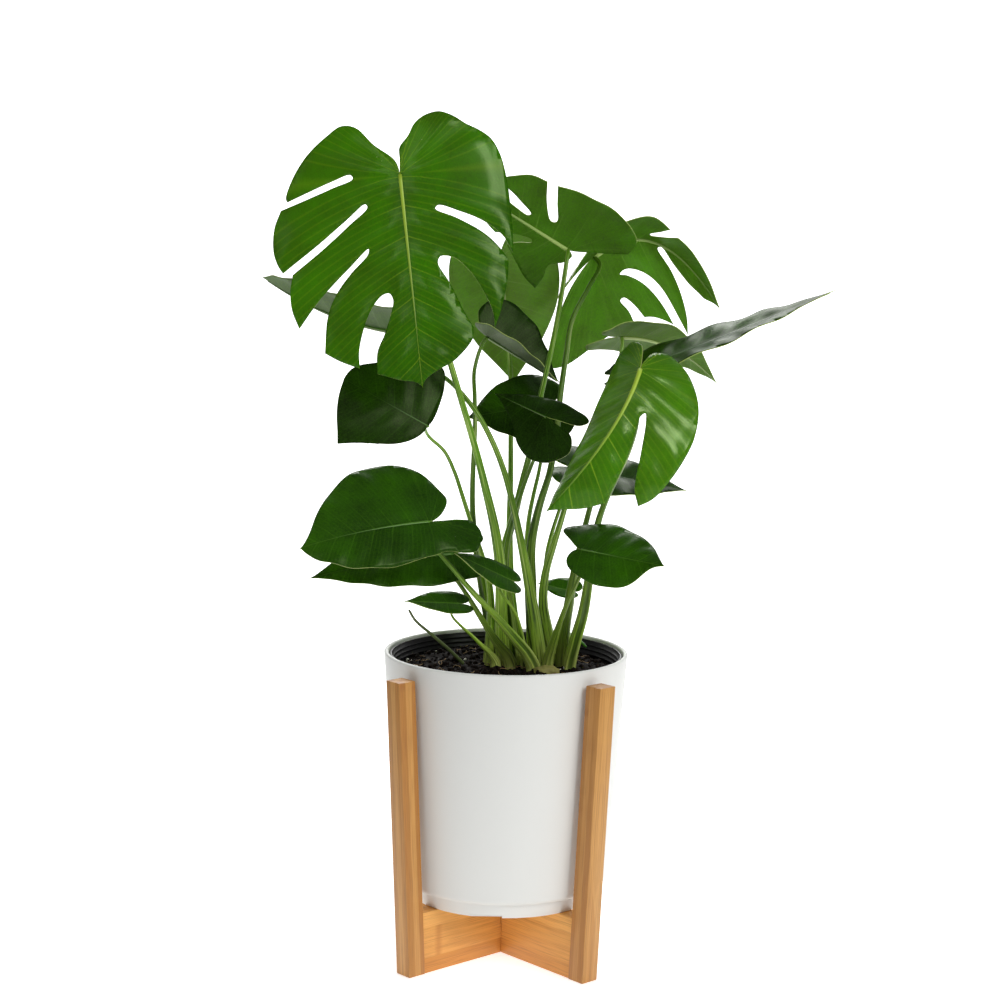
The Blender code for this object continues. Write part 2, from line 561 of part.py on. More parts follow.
def slot_place(slot):
    """Foot of a stem, from its column and row in the clump: odd rows stand half a column over."""
    column, row = slot
    x = CROWN[0] + (column + 0.5 * (row % 2)) * STEM_PITCH
    y = CROWN[1] + row * STEM_PITCH * math.sin(math.pi / 3)
    return (x * PLANT_SCALE, y * PLANT_SCALE)


def stem_route(row):
    """Points along a stem: straight up out of the soil, past its via points, then square to the blade."""
    blade = Blade(row)
    x, y = slot_place(row["slot"])
    foot = np.array([x, y, SOIL_TOP + GAP])
    radius = row["stem"][1] * PLANT_SCALE
    droop = max(0.0, -min(blade.fold))
    end = blade.at - blade.top * (BLADE_THICKNESS / 2 + GAP + radius * math.tan(droop) + 0.0004)
    knee = end - blade.top * KNEE * min(1.0, blade.length / 0.1)
    points = [foot, foot + np.array([0, 0, 0.005])] + [plant_point(p) for p in row["via"]] + [knee, end]
    curve = smooth(points, 24)
    steps = np.r_[0, np.cumsum(np.linalg.norm(np.diff(curve, axis=0), axis=1))]
    even = np.linspace(0, steps[-1], STEM_SAMPLES)
    route = np.stack([np.interp(even, steps, curve[:, k]) for k in range(3)], axis=1)
    route[1] = foot + np.array([0, 0, 0.004])  # its cut end stays level on the soil
    return route


def stem_radii(row):
    """Radius along the stem: a swollen sheath at the soil that narrows to the stalk."""
    low, high = row["stem"]
    low *= STEM_PITCH / DRAWN_PITCH  # neighbours keep their clearance at any spacing
    u = np.linspace(0, 1, STEM_SAMPLES)
    return (high + (low - high) * (1 - u) ** 1.4) * PLANT_SCALE


def keep_apart(rows):
    """Stem routes, moved sideways where one would run into another or into a blade."""
    names = list(rows)
    routes = np.array([stem_route(rows[n]) for n in names])
    radii = np.array([stem_radii(rows[n]) for n in names])
    owner, points = [], []
    for i, n in enumerate(names):
        spread = blade_points(rows[n])
        points += spread
        owner += [i] * len(spread)
    tree = KDTree(len(points))
    for k, p in enumerate(points):
        tree.insert(p, k)
    tree.balance()
    free = np.zeros(STEM_SAMPLES)
    free[HELD_LOW:-HELD_HIGH] = 1
    stem_of = np.repeat(np.arange(len(names)), STEM_SAMPLES)
    for _ in range(70):
        flat = routes.reshape(-1, 3)
        reach = radii.reshape(-1)
        offset = flat[:, None] - flat[None]
        distance = np.linalg.norm(offset, axis=2) + 1e-9
        short = reach[:, None] + reach[None] + STEM_CLEARANCE - distance
        short[stem_of[:, None] == stem_of[None]] = 0
        short = np.clip(short, 0, None)
        push = (offset / distance[..., None] * short[..., None] * 0.5).sum(axis=1)
        push[:, 2] = 0
        for k, p in enumerate(flat):
            near = tree.find_range(p, reach[k] + BLADE_CLEARANCE)
            own_end = k % STEM_SAMPLES > STEM_SAMPLES - 9
            for co, index, gap in near:
                if owner[index] == stem_of[k] and own_end:
                    continue
                away = p - np.array(co)
                push[k] += away / (gap + 1e-9) * (reach[k] + BLADE_CLEARANCE - gap) * 0.5
        push = push.reshape(routes.shape)
        size = np.linalg.norm(push, axis=2, keepdims=True)
        push *= np.minimum(1, 0.004 / (size + 1e-12))
        for _ in range(3):  # share each push with the samples beside it, so a stem stays smooth
            push[:, 1:-1] = (push[:, :-2] + 2 * push[:, 1:-1] + push[:, 2:]) / 4
        routes = routes + push * free[None, :, None]
    return {n: (routes[i], radii[i]) for i, n in enumerate(names)}


def make_stem(name, route, radii, mat, every=4):
    curve = bpy.data.curves.new(name, "CURVE")
    curve.dimensions = "3D"
    curve.bevel_depth = 1.0
    curve.bevel_resolution = 2
    curve.use_fill_caps = True
    spline = curve.splines.new("POLY")
    keep = sorted(set(range(0, len(route), every)) | {1, len(route) - 2, len(route) - 1})
    spline.points.add(len(keep) - 1)
    for point, k in zip(spline.points, keep):
        point.co = (*route[k], 1.0)
        point.radius = radii[k]
    spline.use_smooth = True
    return add(name, curve, mat, PARTS)


def make_plant(green, dark_green, stalk):
    stems = keep_apart(LEAVES)
    for name, row in LEAVES.items():
        make_blade(name, row, dark_green if name in ("left_dark", "mid_back", "mid_cupped") else green)
        make_stem("stem_" + name, *stems[name], stalk)
    for name, points, (low, high) in (("tendril", TENDRIL, TENDRIL_RADII), ("new_shoot", SPROUT, SPROUT_RADII)):
        route = smooth([plant_point(p) for p in points], 4)
        route[0, 2] = max(route[0, 2], SOIL_TOP + GAP + low * PLANT_SCALE)
        make_stem(name, route, np.linspace(low, high, len(route)) * PLANT_SCALE, stalk, every=1)


clear_scene()
PARTS = bpy.data.collections.new("potted_monstera")
CUTTERS = bpy.data.collections.new("cutters")
for group in (PARTS, CUTTERS):
    bpy.context.scene.collection.children.link(group)

make_pots(
    white=material("matte_white_plastic", (0.80, 0.81, 0.82), 0.45),
    black=material("black_nursery_plastic", (0.012, 0.012, 0.013), 0.35),
    earth=material("potting_soil", (0.022, 0.014, 0.010), 0.95),
)
make_stand(
    bamboo=material("laminated_bamboo", (0.62, 0.34, 0.14), 0.45),
    beech=material("beech_dowel", (0.60, 0.42, 0.25), 0.6),
)
make_plant(
    green=material("leaf_green", (0.045, 0.17, 0.012), 0.35),
    dark_green=material("leaf_dark_green", (0.012, 0.055, 0.006), 0.35),
    stalk=material("leaf_stalk_green", (0.16, 0.34, 0.06), 0.45),
)
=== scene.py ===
import math
import random

import bmesh
import bpy
import numpy as np
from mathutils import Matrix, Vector, noise
from mathutils.kdtree import KDTree


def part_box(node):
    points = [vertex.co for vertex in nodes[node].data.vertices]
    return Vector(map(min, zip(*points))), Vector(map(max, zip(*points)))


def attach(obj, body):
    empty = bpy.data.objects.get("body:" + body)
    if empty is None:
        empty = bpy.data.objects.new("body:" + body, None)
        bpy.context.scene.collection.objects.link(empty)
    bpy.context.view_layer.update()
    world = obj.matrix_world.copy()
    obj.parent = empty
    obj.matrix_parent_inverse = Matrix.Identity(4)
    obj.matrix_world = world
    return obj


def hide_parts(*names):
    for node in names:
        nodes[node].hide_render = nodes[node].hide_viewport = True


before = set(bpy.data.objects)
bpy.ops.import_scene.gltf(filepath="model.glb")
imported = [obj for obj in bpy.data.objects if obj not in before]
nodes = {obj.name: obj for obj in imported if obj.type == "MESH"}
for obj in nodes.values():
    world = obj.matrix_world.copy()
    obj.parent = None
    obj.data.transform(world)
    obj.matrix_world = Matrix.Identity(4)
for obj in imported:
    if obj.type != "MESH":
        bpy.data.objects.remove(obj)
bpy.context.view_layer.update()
print("frame loaded,", len(nodes), "CAD nodes")


# ---- small helpers

def linear(hexColour):  # "#rrggbb" in sRGB to a linear colour with alpha
    parts = [int(hexColour[i:i + 2], 16) / 255 for i in (1, 3, 5)]
    return (*[c / 12.92 if c <= 0.04045 else ((c + 0.055) / 1.055) ** 2.4 for c in parts], 1.0)


def newMaterial(name):
    mat = bpy.data.materials.new(name)
    mat.use_nodes = True
    mat.node_tree.nodes.clear()
    return mat


def addNode(mat, kind, feeds=None, **settings):  # a node with its settings, fed by values or sockets
    made = mat.node_tree.nodes.new("ShaderNode" + kind)
    for key, value in settings.items():
        setattr(made, key, value)
    for key, value in (feeds or {}).items():
        if isinstance(value, bpy.types.NodeSocket):
            mat.node_tree.links.new(value, made.inputs[key])
        else:
            made.inputs[key].default_value = value
    return made


def maths(mat, operation, *values, **settings):
    return addNode(mat, "Math", dict(enumerate(values)), operation=operation, **settings).outputs[0]


def remap(mat, value, source, target=(0.0, 1.0), **settings):
    ends = {"From Min": source[0], "From Max": source[1], "To Min": target[0], "To Max": target[1]}
    return addNode(mat, "MapRange", {"Value": value, **ends}, **settings).outputs[0]


def blend(mat, share, first, second):  # of two colours, where a hex one is made linear
    ends = [linear(c) if isinstance(c, str) else c for c in (first, second)]
    return addNode(mat, "Mix", {0: share, 6: ends[0], 7: ends[1]}, data_type="RGBA").outputs[2]


def objectSpot(mat):
    return addNode(mat, "TexCoord").outputs["Object"]


def noiseValue(mat, spot, scale, detail, **more):
    return addNode(mat, "TexNoise", {"Vector": spot, "Scale": scale, "Detail": detail, **more}).outputs["Fac"]


def bumps(mat, height, strength, distance):
    return addNode(mat, "Bump", {"Height": height, "Strength": strength, "Distance": distance}).outputs[0]


def storedValues(mat, *keys):  # numbers kept on the mesh's points
    return [addNode(mat, "Attribute", attribute_name=key).outputs["Fac"] for key in keys]


def principled(mat, colour, rough, more):
    feeds = {"Base Color": colour, "Roughness": rough, **more}
    return addNode(mat, "BsdfPrincipled", feeds).outputs[0]


def finishMaterial(mat, shader):
    addNode(mat, "OutputMaterial", {"Surface": shader})
    return mat


def makeObject(name, verts, faces, mats, faceMats=None, attributes=None, flat=False):
    mesh = bpy.data.meshes.new(name)
    mesh.from_pydata([tuple(v) for v in verts], [], [tuple(int(i) for i in f) for f in faces])
    for mat in mats:
        mesh.materials.append(mat)
    if faceMats is not None:
        mesh.polygons.foreach_set("material_index", np.array(faceMats, np.int32))
    for key, values in (attributes or {}).items():
        layer = mesh.attributes.new(key, "FLOAT", "POINT")
        layer.data.foreach_set("value", np.array(values, np.float32))
    if not flat:
        mesh.shade_smooth()
    mesh.update()
    obj = bpy.data.objects.new(name, mesh)
    bpy.context.scene.collection.objects.link(obj)
    return obj


def place(obj, slot, *stoodFor):  # every piece rides on the one body, and may stand for CAD nodes
    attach(obj, "root")
    if stoodFor:
        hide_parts(*stoodFor)
    return obj


def smoothCurve(points, steps):  # through the points, without overshoot where they are unevenly spaced
    pts = np.array(points, float)
    full = np.vstack([2 * pts[0] - pts[1], pts, 2 * pts[-1] - pts[-2]])
    out = []
    for i in range(len(pts) - 1):
        a, b, c, d = full[i:i + 4]
        before, here, after = [max(np.linalg.norm(q - p), 1e-9) ** 0.5 for p, q in ((a, b), (b, c), (c, d))]
        start = ((b - a) / before - (c - a) / (before + here) + (c - b) / here) * here
        end = ((c - b) / here - (d - b) / (here + after) + (d - c) / after) * here
        for k in range(steps):
            u = k / steps
            out.append((2 * u ** 3 - 3 * u * u + 1) * b + (u ** 3 - 2 * u * u + u) * start
                       + (3 * u * u - 2 * u ** 3) * c + (u ** 3 - u * u) * end)
    return np.array(out + [pts[-1]])


def ramp(x, low, high):  # smooth step from 0 to 1
    u = np.clip((np.asarray(x, float) - low) / (high - low), 0, 1)
    return u * u * (3 - 2 * u)


def tube(points, radii, sides, shape=None):
    # verts, faces, share along and angle around of a closed tube; shape(u, angle) scales the radius
    points = np.array(points, float)
    tangents = np.gradient(points, axis=0)
    tangents /= np.linalg.norm(tangents, axis=1, keepdims=True)
    side = np.cross(tangents[0], (0.3, 0.9, 0.2))
    side /= np.linalg.norm(side)
    length = np.r_[0, np.cumsum(np.linalg.norm(np.diff(points, axis=0), axis=1))]
    share = length / length[-1]
    angles = np.linspace(-math.pi, math.pi, sides, endpoint=False)
    verts, along, around = [], [], []
    for k, (p, t, r) in enumerate(zip(points, tangents, radii)):
        side = side - t * (side @ t)
        side /= np.linalg.norm(side)
        other = np.cross(t, side)
        for a in angles:
            reach = r * (shape(share[k], a) if shape else 1)
            verts.append(p + reach * (math.cos(a) * side + math.sin(a) * other))
            along.append(share[k])
            around.append(a)
    faces = []
    for k in range(len(points) - 1):
        for j in range(sides):
            n = (j + 1) % sides
            faces.append((k * sides + j, k * sides + n, (k + 1) * sides + n, (k + 1) * sides + j))
    faces.append(tuple(range(sides))[::-1])
    last = (len(points) - 1) * sides
    faces.append(tuple(range(last, last + sides)))
    return verts, faces, along, around


def joinParts(parts):  # (verts, faces) pairs as one list of each
    verts, faces = [], []
    for v, f in parts:
        faces += [tuple(i + len(verts) for i in face) for face in f]
        verts += list(v)
    return verts, faces


# ---- camera, floor and light

camera = {
    "place": (-0.0083, -2.1408, 0.7412),
    "lens": 78.37,
    "tilt": 82.53,  # degrees up from straight down
    "roll": 0.0158,  # radians
}
studio = {
    "paper": "#f6f6f5",
    "paperGlow": (0.24, 0.95),  # in front of and behind the plant
    "glowRange": (-0.7, 0.6),  # where it rises from the one to the other
    "glowWidth": (1.15, 1.6),  # how far aside it is full, and where it has faded
    "sideGlow": 0.05,
    "paperWidth": 9.0,
    "paperFront": -4.5,
    "paperBack": 2.6,
    "paperBend": 0.9,
    "paperTop": 4.2,
    "skyStrength": 0.22,
    "lamps": [  # place, size, watts: softboxes at the right, the left, above behind and in front
        ((1.75, -1.8, 1.9), 1.0, 36),
        ((-2.2, -1.4, 1.6), 0.9, 2.5),
        ((0.0, 1.8, 2.4), 1.4, 38),
        ((-0.2, -2.6, 2.2), 0.8, 6),
    ],
    "aim": (0.0, 0.0, 0.5),
}


def makeStudio():
    scene = bpy.context.scene
    scene.view_settings.view_transform = "Standard"
    data = bpy.data.cameras.new("camera")
    data.lens = camera["lens"]
    data.sensor_width = 36
    data.clip_start = 0.05
    eye = bpy.data.objects.new("camera", data)
    eye.rotation_mode = "ZYX"
    eye.location = camera["place"]
    eye.rotation_euler = (math.radians(camera["tilt"]), 0, camera["roll"])
    scene.collection.objects.link(eye)
    scene.camera = eye
    for i, (spot, size, watts) in enumerate(studio["lamps"]):
        lamp = bpy.data.lights.new(f"softbox{i}", "AREA")
        lamp.energy = watts
        lamp.size = size
        obj = bpy.data.objects.new(f"softbox{i}", lamp)
        obj.location = spot
        obj.rotation_euler = (Vector(studio["aim"]) - Vector(spot)).to_track_quat("-Z", "Y").to_euler()
        scene.collection.objects.link(obj)
    world = bpy.data.worlds.new("studioAir")
    scene.world = world
    world.use_nodes = True
    sky = world.node_tree.nodes["Background"].inputs
    sky["Color"].default_value = (1, 1, 1, 1)
    sky["Strength"].default_value = studio["skyStrength"]
    # paper sweep: a floor that bends up behind the plant
    bend, back = studio["paperBend"], studio["paperBack"]
    profile = [(studio["paperFront"], 0.0)]
    profile += [(back - bend + bend * math.sin(a), bend - bend * math.cos(a))
                for a in np.linspace(0, math.pi / 2, 17)]
    profile.append((back, studio["paperTop"]))
    half = studio["paperWidth"] / 2
    verts = [(x, y, z) for y, z in profile for x in (-half, half)]
    faces = [(2 * k, 2 * k + 1, 2 * k + 3, 2 * k + 2) for k in range(len(profile) - 1)]
    mat = newMaterial("studioPaper")  # matte white paper that stays even and pale behind the plant
    spot = addNode(mat, "SeparateXYZ", {"Vector": objectSpot(mat)}).outputs
    glow = remap(mat, spot["Y"], studio["glowRange"], studio["paperGlow"])
    middle = remap(mat, maths(mat, "ABSOLUTE", spot["X"]), studio["glowWidth"], (1.0, studio["sideGlow"]))
    shader = principled(mat, linear(studio["paper"]), 0.9, {
        "Emission Color": (1, 1, 1, 1), "Emission Strength": maths(mat, "MULTIPLY", glow, middle)})
    makeObject("paperFloor", verts, faces, [finishMaterial(mat, shader)])


makeStudio()
print("studio ready")


# ---- pot, tray and stand: the CAD nodes keep their shape and take procedural materials

potLook = {
    "white": "#e8e9e6",
    "whiteRough": 0.42,
    "black": "#0a0a0b",
    "blackRough": 0.34,
    "grainScale": 900.0,
    "cloudScale": 14.0,
    "lineScale": 210.0,  # faint upright draw lines
    "uneven": (-0.05, 0.06),  # how far the roughness strays
    "weldGap": 0.00001,
    "sharpAngle": 32,  # degrees: a flatter edge is shaded smooth
}


def plasticMaterial(name, colour, rough):
    # moulded plastic: one even colour, with a soft sheen that breaks up slightly
    mat = newMaterial(name)
    spot = objectSpot(mat)
    speck = noiseValue(mat, spot, potLook["grainScale"], 2.0)
    cloud = noiseValue(mat, spot, potLook["cloudScale"], 3.0)
    gloss = remap(mat, cloud, (0.0, 1.0), [rough + stray for stray in potLook["uneven"]])
    stretched = addNode(mat, "Mapping", {"Vector": spot, "Scale": (1, 1, 0.02)}).outputs[0]
    lines = noiseValue(mat, stretched, potLook["lineScale"], 1.0)
    height = maths(mat, "MULTIPLY_ADD", lines, 1.6, speck)
    shader = principled(mat, linear(colour), gloss, {
        "Normal": bumps(mat, height, 0.10, 0.0003), "IOR": 1.49, "Specular IOR Level": 0.3})
    return finishMaterial(mat, shader)


bambooLook = {
    "turn": 48.0,  # degrees that bring the legs onto the axes
    "lean": 0.0573,  # how far a leg moves out for each metre up
    "light": "#dda75c",
    "dark": "#b87c38",
    "fibre": "#8f5a2b",
    "joint": "#a4682f",
    "nodePitch": 0.24,
    "nodeShift": 0.21,  # how far the nodes of neighbouring strips are apart
    "nodeMark": (0.0008, 0.006),  # half its dark core, and where it has faded
    "legStrip": 0.0068,
    "beamStrip": 0.031,
    # painted light: the beams are painted far lighter than the legs, for the light that the floor throws up
    # under them
    "legPaintedLight": 0.97,
    "beamPaintedLight": 1.42,
    "rough": 0.44,
}


def bambooMaterial(name, grainAxis, strip, paintedLightLevel):
    # laminated bamboo: honey strips of uneven tone, fine fibres along them, a dark node now and then, and all
    # of it painted lighter or darker as a whole: painted light for the light that falls on the part
    mat = newMaterial(name)
    turned = addNode(mat, "Mapping", {
        "Vector": objectSpot(mat), "Rotation": (0, 0, math.radians(bambooLook["turn"]))}).outputs[0]
    xyz = addNode(mat, "SeparateXYZ", {"Vector": turned}).outputs
    if grainAxis == 2:
        sides = [maths(mat, "ABSOLUTE", xyz[k]) for k in (0, 1)]
        deep = maths(mat, "MULTIPLY_ADD", xyz[2], -bambooLook["lean"], maths(mat, "MAXIMUM", *sides))
        across, along = maths(mat, "MINIMUM", *sides), xyz[2]
        # a number for each leg
        legShare = maths(mat, "SNAP", maths(mat, "MULTIPLY_ADD", xyz[0], 3.0, xyz[1]), 0.1)
    else:
        across, deep, along = xyz[2], xyz[1 - grainAxis], xyz[grainAxis]
        legShare = 0.3
    cells = [maths(mat, "FLOOR", maths(mat, "MULTIPLY_ADD", value, 1 / strip, offset))
             for value, offset in ((across, 0.5), (deep, 0.15))]
    cell = addNode(mat, "CombineXYZ", {"X": cells[0], "Y": cells[1], "Z": legShare}).outputs[0]
    stripTone = addNode(mat, "TexWhiteNoise", {"Vector": cell}, noise_dimensions="3D").outputs["Value"]
    # fibres: noise drawn out along the grain
    fine = addNode(mat, "CombineXYZ", {
        "X": across, "Y": deep, "Z": maths(mat, "MULTIPLY", along, 0.018)}).outputs[0]
    fibres = noiseValue(mat, fine, 1500.0, 3.0)
    streaks = noiseValue(mat, fine, 330.0, 4.0)
    # a node crosses each strip at its own height
    shifted = maths(mat, "MULTIPLY_ADD", stripTone, bambooLook["nodeShift"], along)
    toNode = maths(mat, "PINGPONG", shifted, bambooLook["nodePitch"])
    nodeMark = remap(mat, toNode, bambooLook["nodeMark"], (0.55, 0.0))
    share = remap(mat, stripTone, (0.0, 1.0), (0.0, 0.75))
    share = maths(mat, "MULTIPLY_ADD", streaks, 0.6, share, use_clamp=True)
    base = blend(mat, share, bambooLook["light"], bambooLook["dark"])
    base = blend(mat, remap(mat, fibres, (0.48, 0.72), (0.0, 0.55)), base, bambooLook["fibre"])
    base = blend(mat, nodeMark, base, bambooLook["joint"])
    # painted light: the whole wood is painted lighter or darker by the part's light level
    base = addNode(mat, "HueSaturation", {"Color": base, "Value": paintedLightLevel}).outputs[0]
    shader = principled(mat, base, bambooLook["rough"], {
        "Normal": bumps(mat, fibres, 0.25, 0.00015), "IOR": 1.5})
    return finishMaterial(mat, shader)


def dressNode(name, mat, rounded=False):  # a new material and smooth shading on the CAD node itself
    obj = nodes[name]
    obj.data.materials.clear()
    obj.data.materials.append(mat)
    if "custom_normal" in obj.data.attributes:
        obj.data.attributes.remove(obj.data.attributes["custom_normal"])
    obj.data.shade_smooth()
    weld = obj.modifiers.new("weld", "WELD")
    weld.merge_threshold = potLook["weldGap"]
    if rounded:
        subdivision = obj.modifiers.new("round", "SUBSURF")
        subdivision.levels = subdivision.render_levels = 2
    else:
        split = obj.modifiers.new("keepEdges", "EDGE_SPLIT")
        split.split_angle = math.radians(potLook["sharpAngle"])


white = plasticMaterial("whitePolypropylene", potLook["white"], potLook["whiteRough"])
black = plasticMaterial("blackNurseryPlastic", potLook["black"], potLook["blackRough"])
dressNode("planter", white)
dressNode("drip_tray", white)
dressNode("nursery_pot", black)
legWood = bambooMaterial("bambooLegs", 2, bambooLook["legStrip"], bambooLook["legPaintedLight"])
for beam, axis in (("Lower", 1), ("Upper", 0)):
    wood = bambooMaterial("bambooBeam" + beam, axis, bambooLook["beamStrip"], bambooLook["beamPaintedLight"])
    dressNode("beam_" + beam.lower(), wood)
for nodeName in sorted(nodes):
    if nodeName.startswith(("leg_", "dowel_")):
        dressNode(nodeName, legWood)
print("pot and stand dressed")


# ---- soil: a lumpy crust with crumbs, perlite and fine roots on it

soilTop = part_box("soil")[1].z
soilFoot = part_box("soil")[0].z
soil = {
    "radius": 0.1112,
    "flat": 0.080,  # radius of the level middle
    "fall": 0.007,  # how much lower the rim lies
    "sunk": 0.0016,  # how far the crust lies under the CAD soil's top
    "footRadius": 0.0945,
    "rings": 46,
    "spokes": 150,
    "lump": 0.00165,
    "lumpScale": 95.0,
    "crumbs": 950,
    "crumbSize": (0.0010, 0.0036),
    "perlite": 34,
    "perliteSize": (0.0010, 0.0021),
    "spread": 0.975,  # share of the radius that crumbs and perlite lie on
    "bigLumps": 2.2,  # the higher, the fewer of them are big
    "lumpStretch": (0.7, 1.4),
    "lumpRough": 0.22,
    "roots": 46,
    "rootRadius": 0.00035,
    "rootSpread": 0.9,
    "rootLength": (0.008, 0.026),
    "rootBend": 0.35,
    "rootReach": 0.106,  # no root goes farther out
    "rootPoints": 7,
    "rootLift": 0.0012,
    "rootArch": 0.002,
    "dark": "#080504",
    "brown": "#1f140d",
    "barkBrown": "#2c1c12",
    "perliteWhite": "#e6e3da",
    "rootTan": "#8d7350",
}


def soilHeight(x, y):
    low = max(0.0, (math.hypot(x, y) - soil["flat"]) / (soil["radius"] - soil["flat"]))
    rough = noise.fractal(Vector((x, y, 0.3)) * soil["lumpScale"], 0.7, 2.1, 5)
    return soilTop - soil["fall"] * low * low - soil["sunk"] + soil["lump"] * rough


def earthMaterial(name, dark, brown):
    # damp peat: almost black, with brown fibre flecks and no shine but a little on wet grains
    mat = newMaterial(name)
    flecks = noiseValue(mat, objectSpot(mat), 420.0, 5.0, Roughness=0.7)
    base = blend(mat, remap(mat, flecks, (0.46, 0.68)), dark, brown)
    shader = principled(mat, base, 0.9, {
        "Normal": bumps(mat, flecks, 0.8, 0.0008), "Specular IOR Level": 0.12})
    return finishMaterial(mat, shader)


def plainMaterial(name, colour, rough, scale, spread):
    # one colour that drifts lighter and darker from place to place
    mat = newMaterial(name)
    cloud = noiseValue(mat, objectSpot(mat), scale, 4.0)
    value = remap(mat, cloud, (0.0, 1.0), (1 - spread, 1 + spread))
    base = addNode(mat, "HueSaturation", {"Color": linear(colour), "Value": value}).outputs[0]
    shader = principled(mat, base, rough, {"Normal": bumps(mat, cloud, 0.4, 0.0004)})
    return finishMaterial(mat, shader)


def lumpShape(detail):
    bm = bmesh.new()
    bmesh.ops.create_icosphere(bm, subdivisions=detail, radius=1.0)
    verts = np.array([v.co for v in bm.verts])
    faces = [tuple(v.index for v in f.verts) for f in bm.faces]
    bm.free()
    return verts, faces


def lumps(count, sizes, detail, dice, lift):
    verts, faces = lumpShape(detail)
    parts = []
    for _ in range(count):
        r = soil["radius"] * soil["spread"] * math.sqrt(dice.random())
        a = dice.random() * 2 * math.pi
        size = sizes[0] + (sizes[1] - sizes[0]) * dice.random() ** soil["bigLumps"]
        scale = np.array([size * dice.uniform(*soil["lumpStretch"]) for _ in range(3)])
        turn = Vector([dice.random() for _ in range(3)]).normalized().to_track_quat("Z", "Y").to_matrix()
        x, y = r * math.cos(a), r * math.sin(a)
        dents = 1 + soil["lumpRough"] * np.array([dice.uniform(-1, 1) for _ in verts])
        shape = verts * dents[:, None] * scale
        parts.append((shape @ np.array(turn).T + (x, y, soilHeight(x, y) + lift * size), faces))
    return joinParts(parts)


def makeSoil():
    dice = random.Random(5)
    rings, spokes = soil["rings"], soil["spokes"]
    verts = [(0, 0, soilHeight(0, 0))]
    for k in range(1, rings + 1):
        r = soil["radius"] * k / rings
        for j in range(spokes):
            a = 2 * math.pi * j / spokes
            x, y = r * math.cos(a), r * math.sin(a)
            verts.append((x, y, soilHeight(x, y)))
    for j in range(spokes):
        a = 2 * math.pi * j / spokes
        verts.append((soil["footRadius"] * math.cos(a), soil["footRadius"] * math.sin(a), soilFoot))
    faces = [(0, 1 + j, 1 + (j + 1) % spokes) for j in range(spokes)]
    for k in range(rings):
        first = 1 + k * spokes
        for j in range(spokes):
            n = (j + 1) % spokes
            faces.append((first + j, first + spokes + j, first + spokes + n, first + n))
    last = 1 + rings * spokes
    faces.append(tuple(range(last, last + spokes))[::-1])
    peat = earthMaterial("dampPeat", soil["dark"], soil["brown"])
    place(makeObject("potting_mix", verts, faces, [peat]), "soil", "soil")
    verts, faces = lumps(soil["crumbs"], soil["crumbSize"], 1, dice, 0.25)
    bark = earthMaterial("barkCrumbs", soil["dark"], soil["barkBrown"])
    place(makeObject("soil_crumbs", verts, faces, [bark], flat=True), "soil")
    verts, faces = lumps(soil["perlite"], soil["perliteSize"], 2, dice, 0.55)
    chalk = plainMaterial("perlite", soil["perliteWhite"], 0.9, 700.0, 0.12)
    place(makeObject("perlite", verts, faces, [chalk]), "soil")
    parts = []
    for _ in range(soil["roots"]):
        r = soil["radius"] * soil["rootSpread"] * math.sqrt(dice.random())
        a = dice.random() * 2 * math.pi
        heading = dice.random() * 2 * math.pi
        reach = dice.uniform(*soil["rootLength"])
        points = []
        for u in np.linspace(0, 1, soil["rootPoints"]):
            x = r * math.cos(a) + math.cos(heading) * reach * (u - 0.5)
            y = r * math.sin(a) + math.sin(heading) * reach * (u - 0.5)
            heading += dice.uniform(-soil["rootBend"], soil["rootBend"])
            pull = min(1.0, soil["rootReach"] / max(math.hypot(x, y), 1e-6))
            x, y = x * pull, y * pull
            arch = soil["rootArch"] * math.sin(math.pi * u) * dice.random()
            points.append((x, y, soilHeight(x, y) + soil["rootLift"] + arch))
        line = smoothCurve(points, 2)
        parts.append(tube(line, [soil["rootRadius"]] * len(line), 5)[:2])
    verts, faces = joinParts(parts)
    fibre = plainMaterial("fineRoots", soil["rootTan"], 0.8, 300.0, 0.3)
    place(makeObject("fine_roots", verts, faces, [fibre]), "soil")


makeSoil()
print("soil ready")


# ---- leaves

# Blade outlines in millimetres: s along the midrib from the stalk's joint, t to the blade's left.
# heartSide and broadSide are one side of a plain leaf, as shares of its length and half width.
bigFront = [
    [(0, 0), (-14, -3), (-25, -4), (-36, -14), (-48, -22), (-56, -34), (-58, -46), (-53, -58),
     (-44, -71), (-38, -82), (-29, -93), (-14, -100), (12, -104), (58, -104), (82, -102)],
    [(82, -102), (65, -94), (50, -77), (39, -55), (32, -36), (35, -33), (45, -52), (61, -76),
     (75, -89), (88, -97)],
    [(88, -97), (103, -95), (135, -85), (152, -77)],
    [(152, -77), (138, -77), (117, -70), (98, -60), (83, -46), (81, -33), (87, -30), (106, -39),
     (135, -50), (150, -57)],
    [(150, -57), (161, -55), (179, -37), (187, -21), (195, -7), (203, 0)],
    [(203, 0), (197, 9), (194, 22), (189, 35), (185, 44)],
    [(185, 44), (165, 42), (148, 33), (132, 26), (118, 22), (111, 25), (112, 32), (125, 44),
     (146, 54), (163, 59), (178, 60)],
    [(178, 60), (169, 78), (160, 91)],
    [(160, 91), (126, 85), (106, 75), (88, 59), (72, 41), (67, 40), (82, 59), (108, 90), (133, 113)],
    [(133, 113), (115, 118), (99, 118), (82, 114)],
    [(82, 114), (62, 83), (42, 56), (27, 37), (24, 39), (36, 57), (56, 86), (79, 123)],
    [(79, 123), (71, 127), (56, 130), (35, 127), (19, 119)],
    [(19, 119), (12, 92), (5, 67), (-1, 48), (-5, 50), (-1, 68), (6, 92), (12, 112)],
    [(12, 112), (8, 113), (-9, 105), (-27, 91), (-45, 69), (-53, 54), (-49, 40), (-31, 25),
     (-14, 6), (0, 0)],
]
